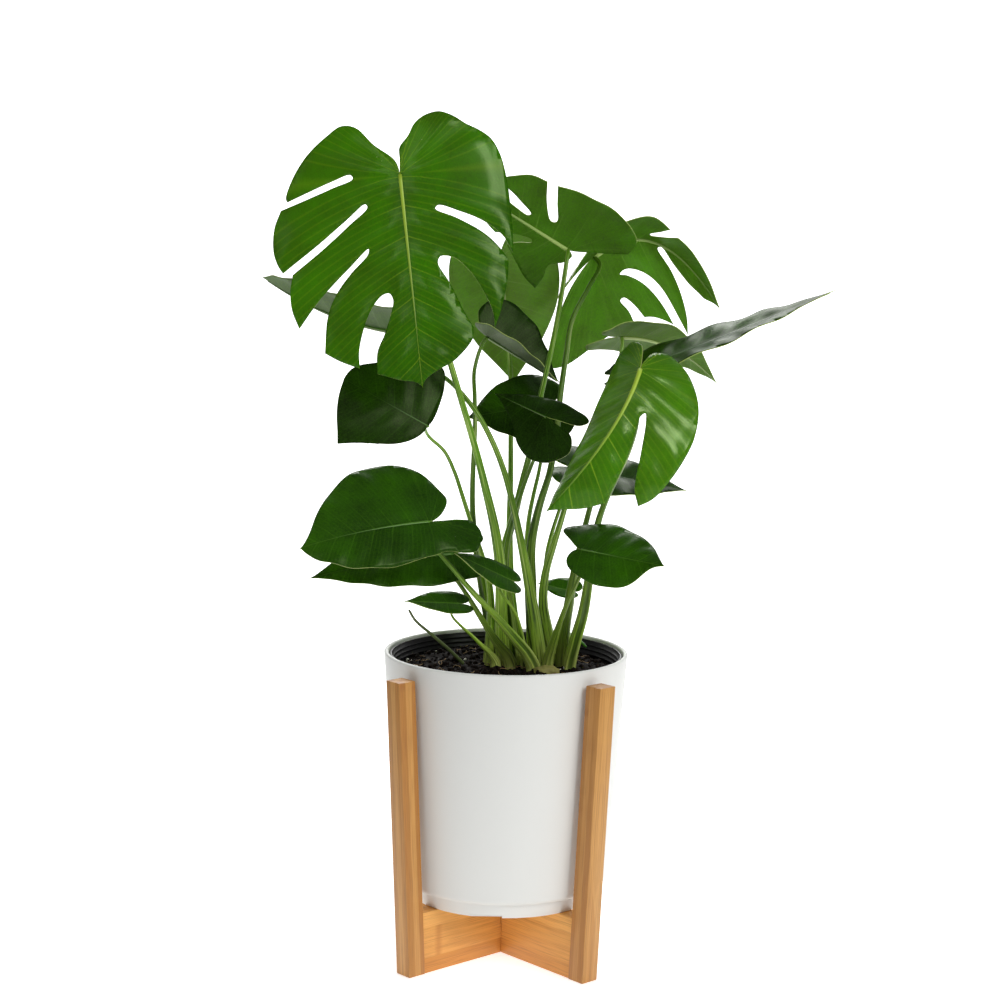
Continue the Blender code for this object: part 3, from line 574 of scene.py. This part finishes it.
leftLow = [
    [(0, 0), (-16, 12), (-25, 27), (-20, 44), (-7, 61), (12, 71), (37, 74), (61, 69), (84, 54),
     (104, 34), (118, 14), (130, 0)],
    [(130, 0), (125, -12), (114, -23), (97, -34), (78, -42), (55, -46), (31, -45), (7, -40),
     (-8, -37), (-21, -41), (-33, -41), (-43, -31), (-48, -18), (-43, -5), (-28, 2), (-14, 0), (0, 0)],
]
rightLow = [
    [(0, 0), (-8, 7), (-10, 17), (-3, 26), (11, 32), (32, 36), (51, 34), (65, 24), (76, 8), (89, 0)],
    [(89, 0), (79, -12), (65, -27), (42, -39), (19, -45), (0, -42), (-18, -34), (-28, -24), (-16, -13),
     (0, 0)],
]
rightFolded = [
    [(0, 0), (-14, -5), (-30, -14), (-38, -30), (-32, -46), (-14, -58), (10, -68), (41, -74), (64, -75),
     (92, -75), (112, -72), (124, -65)],
    [(124, -65), (112, -52), (80, -37), (52, -27), (44, -23), (52, -20), (76, -25), (96, -30), (135, -40)],
    [(135, -40), (150, -22), (163, 0)],
    [(163, 0), (140, 20), (105, 38), (62, 50), (25, 54), (-8, 50), (-32, 38), (-42, 20), (-34, 7),
     (-14, 3), (0, 0)],
]
backHigh = [
    [(0, 0), (-12, -8), (-32, -22), (-52, -38)],
    [(-52, -38), (-50, -54), (-34, -66), (-16, -73), (3, -76), (24, -72), (46, -67), (60, -63)],
    [(60, -63), (46, -44), (32, -25), (37, -22), (54, -37), (71, -60)],
    [(71, -60), (90, -54), (104, -42), (112, -27)],
    [(112, -27), (92, -27), (72, -21), (58, -15), (60, -12), (76, -13), (95, -15), (116, -16)],
    [(116, -16), (123, -7), (127, 0)],
    [(127, 0), (114, 14), (95, 25), (74, 31)],
    [(74, 31), (54, 21), (38, 16), (36, 19), (46, 28), (54, 38)],
    [(54, 38), (34, 48), (12, 60), (-4, 64)],
    [(-4, 64), (-2, 48), (3, 33), (-6, 20), (-9, 8), (0, 0)],
]
backRight = [
    [(0, 0), (-14, -4), (-36, -12), (-56, -28), (-62, -48), (-48, -68), (-18, -82), (14, -88), (34, -88)],
    [(34, -88), (30, -76), (22, -62), (27, -61), (38, -72), (48, -86)],
    [(48, -86), (62, -85), (84, -86)],
    [(84, -86), (72, -68), (54, -50), (34, -38), (26, -35), (33, -31), (56, -38), (76, -52), (92, -74),
     (102, -88)],
    [(102, -88), (105, -70), (101, -46), (92, -26), (78, -9), (84, -5), (96, -16), (116, -25), (134, -22)],
    [(134, -22), (146, -12), (160, 0)],
    [(160, 0), (140, 18), (116, 30), (94, 36)],
    [(94, 36), (82, 24), (68, 15), (65, 18), (74, 30), (82, 43)],
    [(82, 43), (60, 56), (34, 63), (12, 66)],
    [(12, 66), (12, 48), (8, 28), (4, 28), (2, 48), (-2, 66)],
    [(-2, 66), (-28, 60), (-46, 44), (-50, 24), (-36, 10), (-14, 3), (0, 0)],
]
leftDark = [
    [(0, 0), (-2, 10), (-1, 28), (3, 48), (11, 63), (25, 64), (47, 52), (72, 35), (91, 15), (91, -15),
     (83, -37), (73, -55), (69, -62)],
    [(69, -62), (53, -52), (35, -43), (20, -35), (8, -24), (1, -11), (0, 0)],
]
midCupped = [
    [(0, 0), (-12, 4), (-34, 10), (-38, 20), (-20, 27), (10, 26), (40, 14), (60, 0)],
    [(60, 0), (40, -14), (27, -24), (13, -40), (-4, -47), (-24, -42), (-38, -26), (-32, -10), (-10, -4),
     (0, 0)],
]
heartSide = [
    (0, 0), (-0.05, 0.05), (-0.16, 0.2), (-0.23, 0.45), (-0.19, 0.72), (-0.05, 0.93), (0.16, 1.0),
    (0.4, 0.9), (0.65, 0.62), (0.85, 0.27), (1, 0),
]
broadSide = [
    (0, 0), (-0.05, 0.05), (-0.13, 0.18), (-0.19, 0.45), (-0.17, 0.75), (-0.05, 0.96), (0.2, 1.0),
    (0.5, 0.97), (0.75, 0.82), (0.9, 0.55), (0.96, 0.25), (1, 0),
]


def bothSides(side, length, left, right):
    out = [(s * length, -t * right) for s, t in side]
    back = [(s * length, t * left) for s, t in reversed(side)]
    return [out, back]


def heart(length, left, right):
    return bothSides(heartSide, length, left, right)


# base and deep are the skin's two greens, glow the light that comes through and share how much of
# it, sheen how strongly the wax mirrors, veinShare how clear the side veins are and ridge how proud
leafLooks = {
    "glossy": {"base": "#2b6302", "deep": "#205002", "vein": "#8fae24", "glow": "#93e02c", "share": 0.18,
               "rough": 0.22, "sheen": 0.42, "veinShare": 0.5, "ridge": -0.35, "rib": "#9dbb34"},
    "bright": {"base": "#347203", "deep": "#285f03", "vein": "#a4c232", "glow": "#b4ec3a", "share": 0.28,
               "rough": 0.20, "sheen": 0.85, "veinShare": 0.70, "ridge": -0.35, "rib": "#a9c73c"},
    "mature": {"base": "#214a03", "deep": "#173802", "vein": "#5b8a28", "glow": "#9be03a", "share": 0.22,
               "rough": 0.29, "sheen": 0.42, "veinShare": 0.4, "ridge": -0.35, "rib": "#5c8a30"},
    "old": {"base": "#132a02", "deep": "#0c1d01", "vein": "#365c15", "glow": "#8fd040", "share": 0.14,
            "rough": 0.34, "sheen": 0.25, "veinShare": 0.4, "ridge": -0.3, "rib": "#41661f"},
    "pale": {"base": "#809a58", "deep": "#6d8a48", "vein": "#b7c78c", "glow": "#c4f56a", "share": 0.55,
             "rough": 0.46, "sheen": 0.2, "veinShare": 0.7, "ridge": 0.6, "rib": "#a9bc78"},
    "lit": {"base": "#577f2a", "deep": "#466f20", "vein": "#a3be66", "glow": "#c0f75a", "share": 0.58,
            "rough": 0.46, "sheen": 0.42, "veinShare": 0.8, "ridge": 0.6, "rib": "#a3be66"},
    "grey": {"base": "#748364", "deep": "#647355", "vein": "#93a37c", "glow": "#b4e85c", "share": 0.40,
             "rough": 0.42, "sheen": 0.42, "veinShare": 0.6, "ridge": 0.6, "rib": "#8c9d70"},
}

bladeLook = {
    "grid": 0.0042,  # spacing of the mesh lines
    "gridMerge": 0.0004,  # a point this near a line stays uncut
    "thickness": 0.0007,
    "outlineSteps": 6,
    "crease": 0.0035,  # how softly the two halves turn at the midrib
    "fullSize": 0.16,  # a shorter leaf has less relief
    "puff": 0.0021,  # how far the blade rises between two side veins
    "puffStart": (0.003, 0.018),  # distance from the midrib where it starts, and where it is full
    "puffMargin": 0.008,
    "wave": 0.0016,  # ripple of the margin
    "waveStart": (0.006, 0.025),
    "waveMargin": 0.018,
    "waveShift": 0.13,  # turns between one leaf's ripple and the next one's
    "waveSkew": 25,
    "marginDroop": 0.55,  # share of the ripple by which the margin hangs
    "crowded": (5.0, 15.0),  # mm from vein to vein: flat below the first, in full relief from the second
    "ribSlope": (0.12, 0.75),  # lean of the first side vein, and how much more the last one leans
    "backSlope": 0.62,  # how much more each vein behind the joint leans back
    "ribBow": 1.6,
    "sheenTint": "#d6ecae",
    "marginColour": "#a9bd62",
    "midribRadius": (0.0026, 0.0005),  # at the joint and at the tip
    "midribSides": 10,
    "midribRings": 36,
    "midribEnd": 0.965,
    "midribSink": 0.62,  # share of its radius that it lies under the blade's middle
    "fineVeins": 5.0,
    "cellScale": 640.0,
}
mm = 0.001

# One row for each leaf: at is the joint with the stalk, tip the tip and mid the middle of a bent
# midrib, from the middle of the soil. top is the way that the upper side faces, fold how far each
# half is raised in degrees, cup how strongly the margins bend down, ribs the number of side veins,
# and look that of the upper and the lower side.
leaves = {
    "big_front": dict(
        outline=bigFront, at=(-0.107, -0.075, 0.481), tip=(-0.082, -0.115, 0.284),
        top=(0.03, -0.97, 0.20), fold=(-3, -3), cup=0.9, ribs=7, look=("glossy", "pale")),
    "left_flat": dict(
        outline=bothSides(broadSide, 176, 54, 48), at=(-0.080, 0.015, 0.328), tip=(-0.246, 0.010, 0.381),
        mid=(-0.163, 0.012, 0.340), top=(0.1, -0.05, 1.0), fold=(18, 38),
        ribs=7, look=("mature", "grey")),
    "centre_droop": dict(
        outline=heart(92, 28, 50), at=(-0.023, 0.035, 0.324), tip=(0.050, 0.052, 0.278),
        top=(0.35, -0.1, 0.93), fold=(36, 58), ribs=6, look=("old", "grey")),
    "back_centre": dict(
        outline=heart(128, 62, 60), at=(-0.012, 0.092, 0.401), tip=(0.004, 0.088, 0.272),
        top=(0.1, 0.97, 0.15), fold=(8, 8), ribs=6, look=("glossy", "pale")),
    "back_high": dict(
        outline=backHigh, at=(0.055, 0.020, 0.412), tip=(-0.042, -0.015, 0.470),
        top=(0.25, 0.8, 0.5), fold=(4, 4), cup=1.5, ribs=6, look=("glossy", "lit")),
    "back_right": dict(
        outline=backRight, at=(0.084, 0.105, 0.404), tip=(0.219, 0.135, 0.349),
        mid=(0.151, 0.125, 0.418), top=(0.05, 0.75, 0.65), fold=(-25, -38),
        ribs=6, look=("glossy", "lit")),
    "right_under": dict(
        outline=heart(120, 40, 46), at=(0.109, 0.000, 0.328), tip=(0.208, 0.040, 0.280),
        mid=(0.162, 0.020, 0.316), top=(0.1, 0.5, 0.85), fold=(4, 4), ribs=6, look=("glossy", "pale")),
    "right_folded": dict(
        outline=rightFolded, at=(0.120, -0.120, 0.305), tip=(0.034, -0.1578, 0.175),
        mid=(0.090, -0.152, 0.246), top=(-0.1, -0.9, 0.42), fold=(-50, -18),
        ribs=6, look=("bright", "pale")),
    "right_long": dict(
        outline=heart(196, 38, 38), at=(0.129, -0.050, 0.303), tip=(0.306, -0.080, 0.380),
        mid=(0.215, -0.065, 0.339), top=(-0.3, -0.3, 0.9), fold=(10, 4), ribs=7, look=("old", "pale")),
    "mid_back": dict(
        outline=heart(96, 44, 46), at=(0.039, 0.050, 0.257), tip=(-0.043, 0.010, 0.245),
        top=(0.0, -0.8, 0.6), fold=(0, 0), cup=1.5, ribs=6, look=("old", "grey"), slot="leaf_dark"),
    "mid_cupped": dict(
        outline=midCupped, at=(0.035, -0.030, 0.251), tip=(-0.016, 0.000, 0.271),
        top=(0.0, -0.5, 0.87), fold=(10, -45), ribs=5, look=("old", "grey"), slot="leaf_dark"),
    "left_dark": dict(
        outline=leftDark, at=(-0.079, -0.050, 0.242), tip=(-0.158, -0.059, 0.286),
        top=(0.1, -0.9, 0.4), fold=(0, 0), cup=1.0, ribs=5, look=("old", "grey"), slot="leaf_dark"),
    "left_low": dict(
        outline=leftLow, at=(-0.074, -0.100, 0.156), tip=(-0.193, -0.150, 0.136),
        mid=(-0.133, -0.127, 0.150), top=(0.0, -0.75, 0.66), fold=(6, 0), cup=1.0,
        ribs=7, look=("mature", "grey")),
    "left_lowest": dict(
        outline=heart(150, 40, 36), at=(-0.053, -0.045, 0.117), tip=(-0.190, -0.100, 0.099),
        mid=(-0.123, -0.074, 0.111), top=(0.0, -0.75, 0.66), fold=(8, 0), cup=1.0,
        ribs=7, look=("mature", "grey")),
    "small_left": dict(
        outline=heart(66, 17, 17), at=(-0.047, -0.063, 0.071), tip=(-0.099, -0.104, 0.080),
        top=(0.0, -0.74, 0.67), fold=(6, 6), ribs=5, look=("mature", "grey")),
    "small_front": dict(
        outline=heart(66, 17, 20), at=(0.001, -0.070, 0.097), tip=(-0.051, -0.100, 0.126),
        top=(0.0, -0.7, 0.7), fold=(6, 6), ribs=5, look=("mature", "grey")),
    "right_low": dict(
        outline=rightLow, at=(0.070, -0.070, 0.127), tip=(0.149, -0.110, 0.118),
        top=(0.0, -0.75, 0.66), fold=(-6, -6), cup=2.0, ribs=6, look=("mature", "grey")),
    "small_back": dict(
        outline=heart(40, 18, 14), at=(0.066, 0.034, 0.068), tip=(0.031, 0.052, 0.073),
        top=(0.0, -0.7, 0.7), fold=(6, 6), ribs=4, look=("mature", "grey")),
    "back_low": dict(
        outline=heart(134, 44, 46), at=(0.067, 0.085, 0.188), tip=(0.186, 0.100, 0.164),
        top=(0.0, -0.45, 0.89), fold=(6, 6), cup=1.0, ribs=6, look=("old", "grey")),
}


def plantPoint(spot):
    return np.array(spot, float) + np.array([0, 0, soilTop])


class Blade:
    def __init__(self, row):
        self.at = plantPoint(row["at"])
        self.tip = plantPoint(row["tip"])
        self.mid = plantPoint(row["mid"]) if "mid" in row else (self.at + self.tip) / 2
        along = self.mid - self.at
        along /= np.linalg.norm(along)
        top = np.array(row["top"], float)
        top -= along * (top @ along)
        self.top = top / np.linalg.norm(top)
        self.left = np.cross(along, self.top)
        self.fold = [math.radians(a) for a in row["fold"]]
        self.cup = row.get("cup", 0.0)
        self.length = max(s for run in row["outline"] for s, _ in run) * mm

    def midrib(self, s):
        u = (np.asarray(s, float) / self.length)[..., None]
        turn = 2 * self.mid - (self.at + self.tip) / 2
        return (1 - u) ** 2 * self.at + 2 * u * (1 - u) * turn + u * u * self.tip

    def surface(self, s, t, rise):
        soft = bladeLook["crease"]
        reach = np.sqrt(t * t + soft * soft) - soft
        fold = np.where(t > 0, self.fold[0], self.fold[1])
        out = np.cos(fold) * reach * np.sign(t)
        up = np.sin(fold) * reach - self.cup * t * t + rise
        return self.midrib(s) + out[:, None] * self.left + up[:, None] * self.top


def ribPhase(s, t, blade, count):
    # which side vein a point is on, as a running number, and the distance in mm from one to the next
    first, more = bladeLook["ribSlope"]
    back = bladeLook["backSlope"]
    steps = np.linspace(-4.5, count + 1.5, 90)
    start = np.maximum(steps, 0) / count * blade.length
    slope = np.where(steps > 0, first + more * np.clip(steps / count, 0, 1.2), first + back * steps)
    reach = np.abs(t)
    phase = np.empty(len(s))
    for k, (a, b) in enumerate(zip(s, reach)):
        phase[k] = np.interp(a, start + b * slope + bladeLook["ribBow"] * b * b * np.sign(slope), steps)
    lean = np.interp(phase, steps, slope)
    spread = np.where(phase > 0, blade.length / count + reach * more / count, back * reach + 0.002)
    return phase, spread / mm / np.sqrt(1 + lean * lean)


def marginDistance(points, outline):
    a, b = outline, np.roll(outline, -1, axis=0)
    best = np.full(len(points), 9.0)
    for p, q in zip(a, b):
        edge = q - p
        u = np.clip(((points - p) @ edge) / (edge @ edge + 1e-12), 0, 1)
        best = np.minimum(best, np.linalg.norm(points - p - u[:, None] * edge, axis=1))
    return best


def leafMaterial(name, look):
    # leaf skin: waxy green, with paler side veins, a faint net of cells and light coming through
    mat = newMaterial(name)
    rib, pitch, across, run = storedValues(mat, "rib", "pitch", "across", "run")
    spot = objectSpot(mat)
    toRib = maths(mat, "MULTIPLY", maths(mat, "PINGPONG", rib, 0.5), pitch)
    width = remap(mat, across, (0.0, 60.0), (1.0, 0.28))
    sideVein = remap(mat, toRib, (0.0, width), (1.0, 0.0), interpolation_type="SMOOTHSTEP")
    fine = maths(mat, "PINGPONG", maths(mat, "MULTIPLY", rib, bladeLook["fineVeins"]), 0.5)
    fine = remap(mat, fine, (0.0, 0.16), (0.16, 0.0))
    ribWidth = remap(mat, run, (0.0, 1.0), (2.5, 0.6))
    mainRib = remap(mat, across, (0.0, ribWidth), (1.0, 0.0), interpolation_type="SMOOTHSTEP")
    fade = remap(mat, across, (0.0, 55.0), (look["veinShare"], 0.2 * look["veinShare"]))
    veins = maths(mat, "MAXIMUM", maths(mat, "MULTIPLY", sideVein, fade), fine)
    veins = maths(mat, "MAXIMUM", veins, mainRib)
    cloud = noiseValue(mat, spot, 26.0, 3.0)
    cells = addNode(mat, "TexVoronoi", {"Vector": spot, "Scale": bladeLook["cellScale"]}).outputs["Distance"]
    drift = remap(mat, maths(mat, "MULTIPLY_ADD", cells, 0.35, cloud), (0.30, 0.95))
    base = blend(mat, veins, blend(mat, drift, look["base"], look["deep"]), look["vein"])
    gloss = remap(mat, cloud, (0.0, 1.0), (look["rough"] - 0.05, look["rough"] + 0.10))
    height = maths(mat, "MULTIPLY_ADD", cells, 0.10, maths(mat, "MULTIPLY", veins, look["ridge"]))
    bump = bumps(mat, height, 0.55, 0.0005)
    skin = principled(mat, base, gloss, {
        "Normal": bump, "IOR": 1.42,
        "Specular IOR Level": look["sheen"], "Specular Tint": linear(bladeLook["sheenTint"])})
    through = addNode(mat, "BsdfTranslucent", {
        "Color": blend(mat, drift, look["glow"], look["vein"]), "Normal": bump})
    both = addNode(mat, "MixShader", {0: look["share"], 1: skin, 2: through.outputs[0]})
    return finishMaterial(mat, both.outputs[0])


def ribMaterial(name, look):
    # midrib: pale and smooth at the stalk, fading into the blade towards the tip
    mat = newMaterial(name)
    fade = remap(mat, storedValues(mat, "run")[0], (0.15, 0.95), (0.0, 0.85))
    shader = principled(mat, blend(mat, fade, look["rib"], look["base"]), 0.4, {"IOR": 1.42})
    return finishMaterial(mat, shader)


skins = {name: leafMaterial("leaf" + name.capitalize(), look) for name, look in leafLooks.items()}
marginSkin = plainMaterial("leafMargin", bladeLook["marginColour"], 0.5, 60.0, 0.1)
ribSkins = {name: ribMaterial("midrib" + name.capitalize(), look) for name, look in leafLooks.items()}


def flatGrid(outline):
    # the outline's face cut along grid lines: points in the blade's plane, and faces
    bm = bmesh.new()
    bm.faces.new([bm.verts.new((s, t, 0)) for s, t in outline])
    grid = bladeLook["grid"]
    for axis in (0, 1):
        low, high = outline[:, axis].min(), outline[:, axis].max()
        normal = Vector((1 - axis, axis, 0))
        for k in range(math.ceil(low / grid), math.floor(high / grid) + 1):
            geometry = bm.verts[:] + bm.edges[:] + bm.faces[:]
            bmesh.ops.bisect_plane(bm, geom=geometry, dist=bladeLook["gridMerge"],
                                   plane_co=normal * k * grid, plane_no=normal)
    bm.verts.index_update()
    for face in bm.faces:
        if face.normal.z < 0:
            face.normal_flip()
    flat = np.array([(v.co.x, v.co.y) for v in bm.verts])
    faces = [tuple(v.index for v in f.verts) for f in bm.faces]
    rim = [(loop.vert.index, loop.link_loop_next.vert.index) for f in bm.faces for loop in f.loops
           if len(loop.edge.link_faces) == 1]
    bm.free()
    return flat, faces, rim


def reliefOf(t, edge, phase, pitch, blade, number):
    # how far the blade rises: puffed between the side veins, rippled and hanging at the margin
    size = min(1.0, blade.length / bladeLook["fullSize"])
    reach = np.abs(t)
    bulge = 0.5 - 0.5 * np.cos(2 * math.pi * phase)
    puff = bladeLook["puff"] * bulge * ramp(reach, *bladeLook["puffStart"])
    puff = puff * ramp(edge, 0.0, bladeLook["puffMargin"])
    shift = bladeLook["waveShift"] * number
    ripple = np.sin(2 * math.pi * (0.5 * phase + shift) + bladeLook["waveSkew"] * t)
    wave = bladeLook["wave"] * (ripple - bladeLook["marginDroop"]) * ramp(reach, *bladeLook["waveStart"])
    wave = wave * (1 - ramp(edge, 0.0, bladeLook["waveMargin"]))
    return size * (puff + wave) * ramp(pitch, *bladeLook["crowded"])


def makeMidrib(blade):
    # a tapering ridge, mostly below the blade: verts, faces, share along and whether each vert is above
    rings, sides = bladeLook["midribRings"], bladeLook["midribSides"]
    along = np.linspace(0, bladeLook["midribEnd"] * blade.length, rings)
    line = blade.surface(along, np.zeros(rings), np.zeros(rings))
    thick, thin = bladeLook["midribRadius"]
    size = min(1.0, blade.length / bladeLook["fullSize"])
    radii = (thick * size - thin) * (1 - along / blade.length) ** 0.9 + thin
    line = line - blade.top * (bladeLook["midribSink"] * radii)[:, None]
    verts, faces, _, _ = tube(line, radii, sides)
    above = (np.array(verts) - np.repeat(line, sides, axis=0)) @ blade.top > 0
    return np.array(verts), faces, np.repeat(along / blade.length, sides), above


def makeLeaf(name, row):
    blade = Blade(row)
    outline = np.vstack([smoothCurve(run, bladeLook["outlineSteps"])[:-1] for run in row["outline"]]) * mm
    flat, faces, rim = flatGrid(outline)
    s, t = flat[:, 0], flat[:, 1]
    phase, pitch = ribPhase(s, t, blade, row["ribs"])
    rise = reliefOf(t, marginDistance(flat, outline), phase, pitch, blade, len(name))
    middle = blade.surface(s, t, rise)
    normals = np.zeros_like(middle)
    for face in faces:
        a, b, c = middle[face[0]], middle[face[1]], middle[face[-1]]
        normals[list(face)] += np.cross(b - a, c - a)
    normals /= np.linalg.norm(normals, axis=1, keepdims=True) + 1e-12
    if (normals @ blade.top).mean() < 0:  # the first side has to be the upper one
        normals = -normals
        faces = [f[::-1] for f in faces]
        rim = [(b, a) for a, b in rim]
    half = bladeLook["thickness"] / 2
    count = len(middle)
    allFaces = list(faces)
    allFaces += [tuple(i + count for i in f[::-1]) for f in faces]
    allFaces += [(b, a, a + count, b + count) for a, b in rim]
    faceMats = [0] * len(faces) + [1] * len(faces) + [2] * len(rim)
    ribVerts, ribFaces, ribRun, above = makeMidrib(blade)
    faceMats += [3 if all(above[i] for i in f) and len(f) == 4 else 4 for f in ribFaces]
    allFaces += [tuple(i + 2 * count for i in f) for f in ribFaces]
    verts = np.vstack([middle + normals * half, middle - normals * half, ribVerts])
    values = {"rib": phase, "pitch": pitch, "across": np.abs(t) / mm, "run": np.clip(s / blade.length, 0, 1)}
    values = {key: np.r_[v, v, ribRun if key == "run" else 0 * ribRun] for key, v in values.items()}
    upper, under = row["look"]
    mats = [skins[upper], skins[under], marginSkin, ribSkins[upper], ribSkins[under]]
    obj = makeObject("blade_" + name, verts, allFaces, mats, faceMats, values)
    place(obj, row.get("slot", "leaf"), "leaf_" + name)
    return blade


blades = {name: makeLeaf(name, row) for name, row in leaves.items()}
print("leaves ready,", len(blades))


# ---- stalks: fine tubes along the CAD stems, with an open sheath at the foot

stalk = {
    "ringGap": 0.0052,  # CAD vertices nearer than this belong to one ring
    "sides": 28,
    "steps": 9,
    "sink": 0.004,  # how far the foot goes into the soil
    "footFlare": 1.04,
    "jointFlare": 1.06,
    "jointDrop": 0.0004,  # how far under the blade's skin the stalk ends
    "jointGap": 0.004,  # a CAD ring nearer to the joint is left out
    "spin": 2.4,  # radians from one stalk's groove to the next one's
    # painted shade: each stalk is painted lighter or darker as a whole, by its own step
    "shadeStep": 0.37,
    "slimming": 0.28,  # how much thinner than its CAD stem the upper stalk is
    "slimRange": (0.10, 0.50),  # shares of the length
    "high": "#629020",
    "low": "#a4cc42",
    "foot": "#c2bd72",
    # painted shade: the colour of the dark streaks and of the inside of the open sheath's groove
    "groove": "#1d4206",
    # painted highlight: pale streaks along the stalk
    "paintedHighlight": "#d8ea90",
    "rough": 0.36,
    "sheath": (0.22, 0.50),  # share of the length where the open sheath starts to close, and is closed
    "sheathRidge": 0.20,
    "sheathGroove": 0.34,
    "ridgeAt": 0.62,  # radians from the middle of the groove
    "ridgeWidth": 0.17,
    "grooveWidth": 0.36,
}


def ringCentres(nodeName):  # centre and radius of each ring of the CAD stem, from the soil up
    points = np.unique(np.round([v.co for v in nodes[nodeName].data.vertices], 6), axis=0)
    tree = KDTree(len(points))
    for i, p in enumerate(points):
        tree.insert(p, i)
    tree.balance()
    group = -np.ones(len(points), int)
    rings = []
    for i in range(len(points)):
        if group[i] >= 0:
            continue
        group[i] = len(rings)
        todo, members = [i], []
        while todo:
            k = todo.pop()
            members.append(k)
            for _, other, _ in tree.find_range(points[k], stalk["ringGap"]):
                if group[other] < 0:
                    group[other] = len(rings)
                    todo.append(other)
        centre = points[members].mean(axis=0)
        rings.append((centre, np.median(np.linalg.norm(points[members] - centre, axis=1))))
    order = [rings.pop(min(range(len(rings)), key=lambda k: rings[k][0][2]))]
    while rings:
        here = order[-1][0]
        order.append(rings.pop(min(range(len(rings)), key=lambda k: np.linalg.norm(rings[k][0] - here))))
    return order


def sheathShape(u, angle):
    ridges = math.exp(-((abs(angle) - stalk["ridgeAt"]) / stalk["ridgeWidth"]) ** 2)
    groove = math.exp(-(angle / stalk["grooveWidth"]) ** 2)
    relief = stalk["sheathRidge"] * ridges - stalk["sheathGroove"] * groove
    return 1 + (1 - float(ramp(u, *stalk["sheath"]))) * relief


def stalkMaterial():
    # smooth stalk: pale at the sheath, greener above; painted highlight in pale streaks, painted shade in
    # dark streaks and in the open groove, and each stalk painted lighter or darker as a whole as painted
    # shade
    mat = newMaterial("leafStalk")
    along, around, metres, stalkShade = storedValues(mat, "along", "around", "metres", "stalkShade")
    spot = addNode(mat, "CombineXYZ", {
        "X": around, "Y": 0.0, "Z": maths(mat, "MULTIPLY", metres, 4.5)}).outputs[0]
    streaks = noiseValue(mat, spot, 2.4, 4.0, Roughness=0.65)
    lowShare = remap(mat, metres, (0.03, 0.20), (1.0, 0.0), interpolation_type="SMOOTHSTEP")
    base = blend(mat, lowShare, stalk["high"], stalk["low"])
    base = blend(mat, remap(mat, metres, (0.0, 0.04), (0.7, 0.0)), base, stalk["foot"])
    # painted highlight: pale streaks
    base = blend(mat, remap(mat, streaks, (0.52, 0.66), (0.0, 0.7)), base, stalk["paintedHighlight"])
    # painted shade: dark streaks
    base = blend(mat, remap(mat, streaks, (0.36, 0.50), (0.85, 0.0)), base, stalk["groove"])
    # painted shade inside the groove of the open sheath
    grooveShade = remap(mat, maths(mat, "ABSOLUTE", around), (0.30, 0.55), (0.75, 0.0))
    opening = remap(mat, along, stalk["sheath"], (1.0, 0.0))
    base = blend(mat, maths(mat, "MULTIPLY", grooveShade, opening), base, stalk["groove"])
    # painted shade: each stalk painted lighter or darker as a whole
    paintedLightLevel = remap(mat, stalkShade, (0.0, 1.0), (1.15, 0.55))
    base = addNode(mat, "HueSaturation", {"Color": base, "Value": paintedLightLevel}).outputs[0]
    shader = principled(mat, base, stalk["rough"], {
        "Normal": bumps(mat, streaks, 0.3, 0.0005), "IOR": 1.42, "Specular IOR Level": 0.35,
        "Subsurface Weight": 0.1, "Subsurface Radius": (0.002, 0.003, 0.001)})
    return finishMaterial(mat, shader)


stalkSkin = stalkMaterial()


def wrapAngle(a):
    return (a + math.pi) % (2 * math.pi) - math.pi


def makeStalk(name, index):
    rings = ringCentres("stem_" + name)
    blade = blades[name]
    centres = [r[0] for r in rings]
    radii = [r[1] for r in rings]
    foot = centres[0].copy()
    foot[2] = soilTop - stalk["sink"]
    joint = blade.at - blade.top * stalk["jointDrop"]
    if np.linalg.norm(centres[-1] - joint) < stalk["jointGap"]:
        centres, radii = centres[:-1], radii[:-1]
    centres = [foot] + centres + [joint]
    radii = [radii[0] * stalk["footFlare"]] + radii + [radii[-1] * stalk["jointFlare"]]
    path = smoothCurve([(*c, r) for c, r in zip(centres, radii)], stalk["steps"])
    path[:, 3] *= 1 - stalk["slimming"] * ramp(np.linspace(0, 1, len(path)), *stalk["slimRange"])
    spin = stalk["spin"] * index
    verts, faces, along, around = tube(path[:, :3], path[:, 3], stalk["sides"],
                                       lambda u, a: sheathShape(u, wrapAngle(a + spin)))
    length = np.linalg.norm(np.diff(path[:, :3], axis=0), axis=1).sum()
    values = {
        "along": along,
        "around": [wrapAngle(a + spin) for a in around],
        "metres": [u * length for u in along],
        "stalkShade": [stalk["shadeStep"] * index % 1.0] * len(verts),
    }
    place(makeObject("stalk_" + name, verts, faces, [stalkSkin], None, values), "stem", "stem_" + name)


for number, leafName in enumerate(leaves):
    makeStalk(leafName, number)

rootstock = {
    "place": (0.040, -0.039, 0.2965),
    "size": (0.0125, 0.0075, 0.0060),
    "swell": 0.16,
    "swellScale": 2.1,
    "colour": "#8a8646",
    "tendril": "#4f5d30",
    "shoot": "#3f7a1c",
}


def makeRootstock():
    verts, faces = lumpShape(4)
    shape = []
    for v in verts:
        swell = 1 + rootstock["swell"] * noise.fractal(Vector(v) * rootstock["swellScale"], 0.8, 2.0, 4)
        shape.append(np.array(rootstock["place"]) + v * rootstock["size"] * swell)
    bark = plainMaterial("rootstockBark", rootstock["colour"], 0.7, 160.0, 0.45)
    place(makeObject("rootstock", shape, faces, [bark]), "stem")


makeRootstock()
dryRoot = plainMaterial("dryRoot", rootstock["tendril"], 0.6, 120.0, 0.3)
dressNode("tendril", dryRoot, rounded=True)
youngShoot = plainMaterial("youngShoot", rootstock["shoot"], 0.4, 120.0, 0.25)
dressNode("new_shoot", youngShoot, rounded=True)
print("stalks ready")
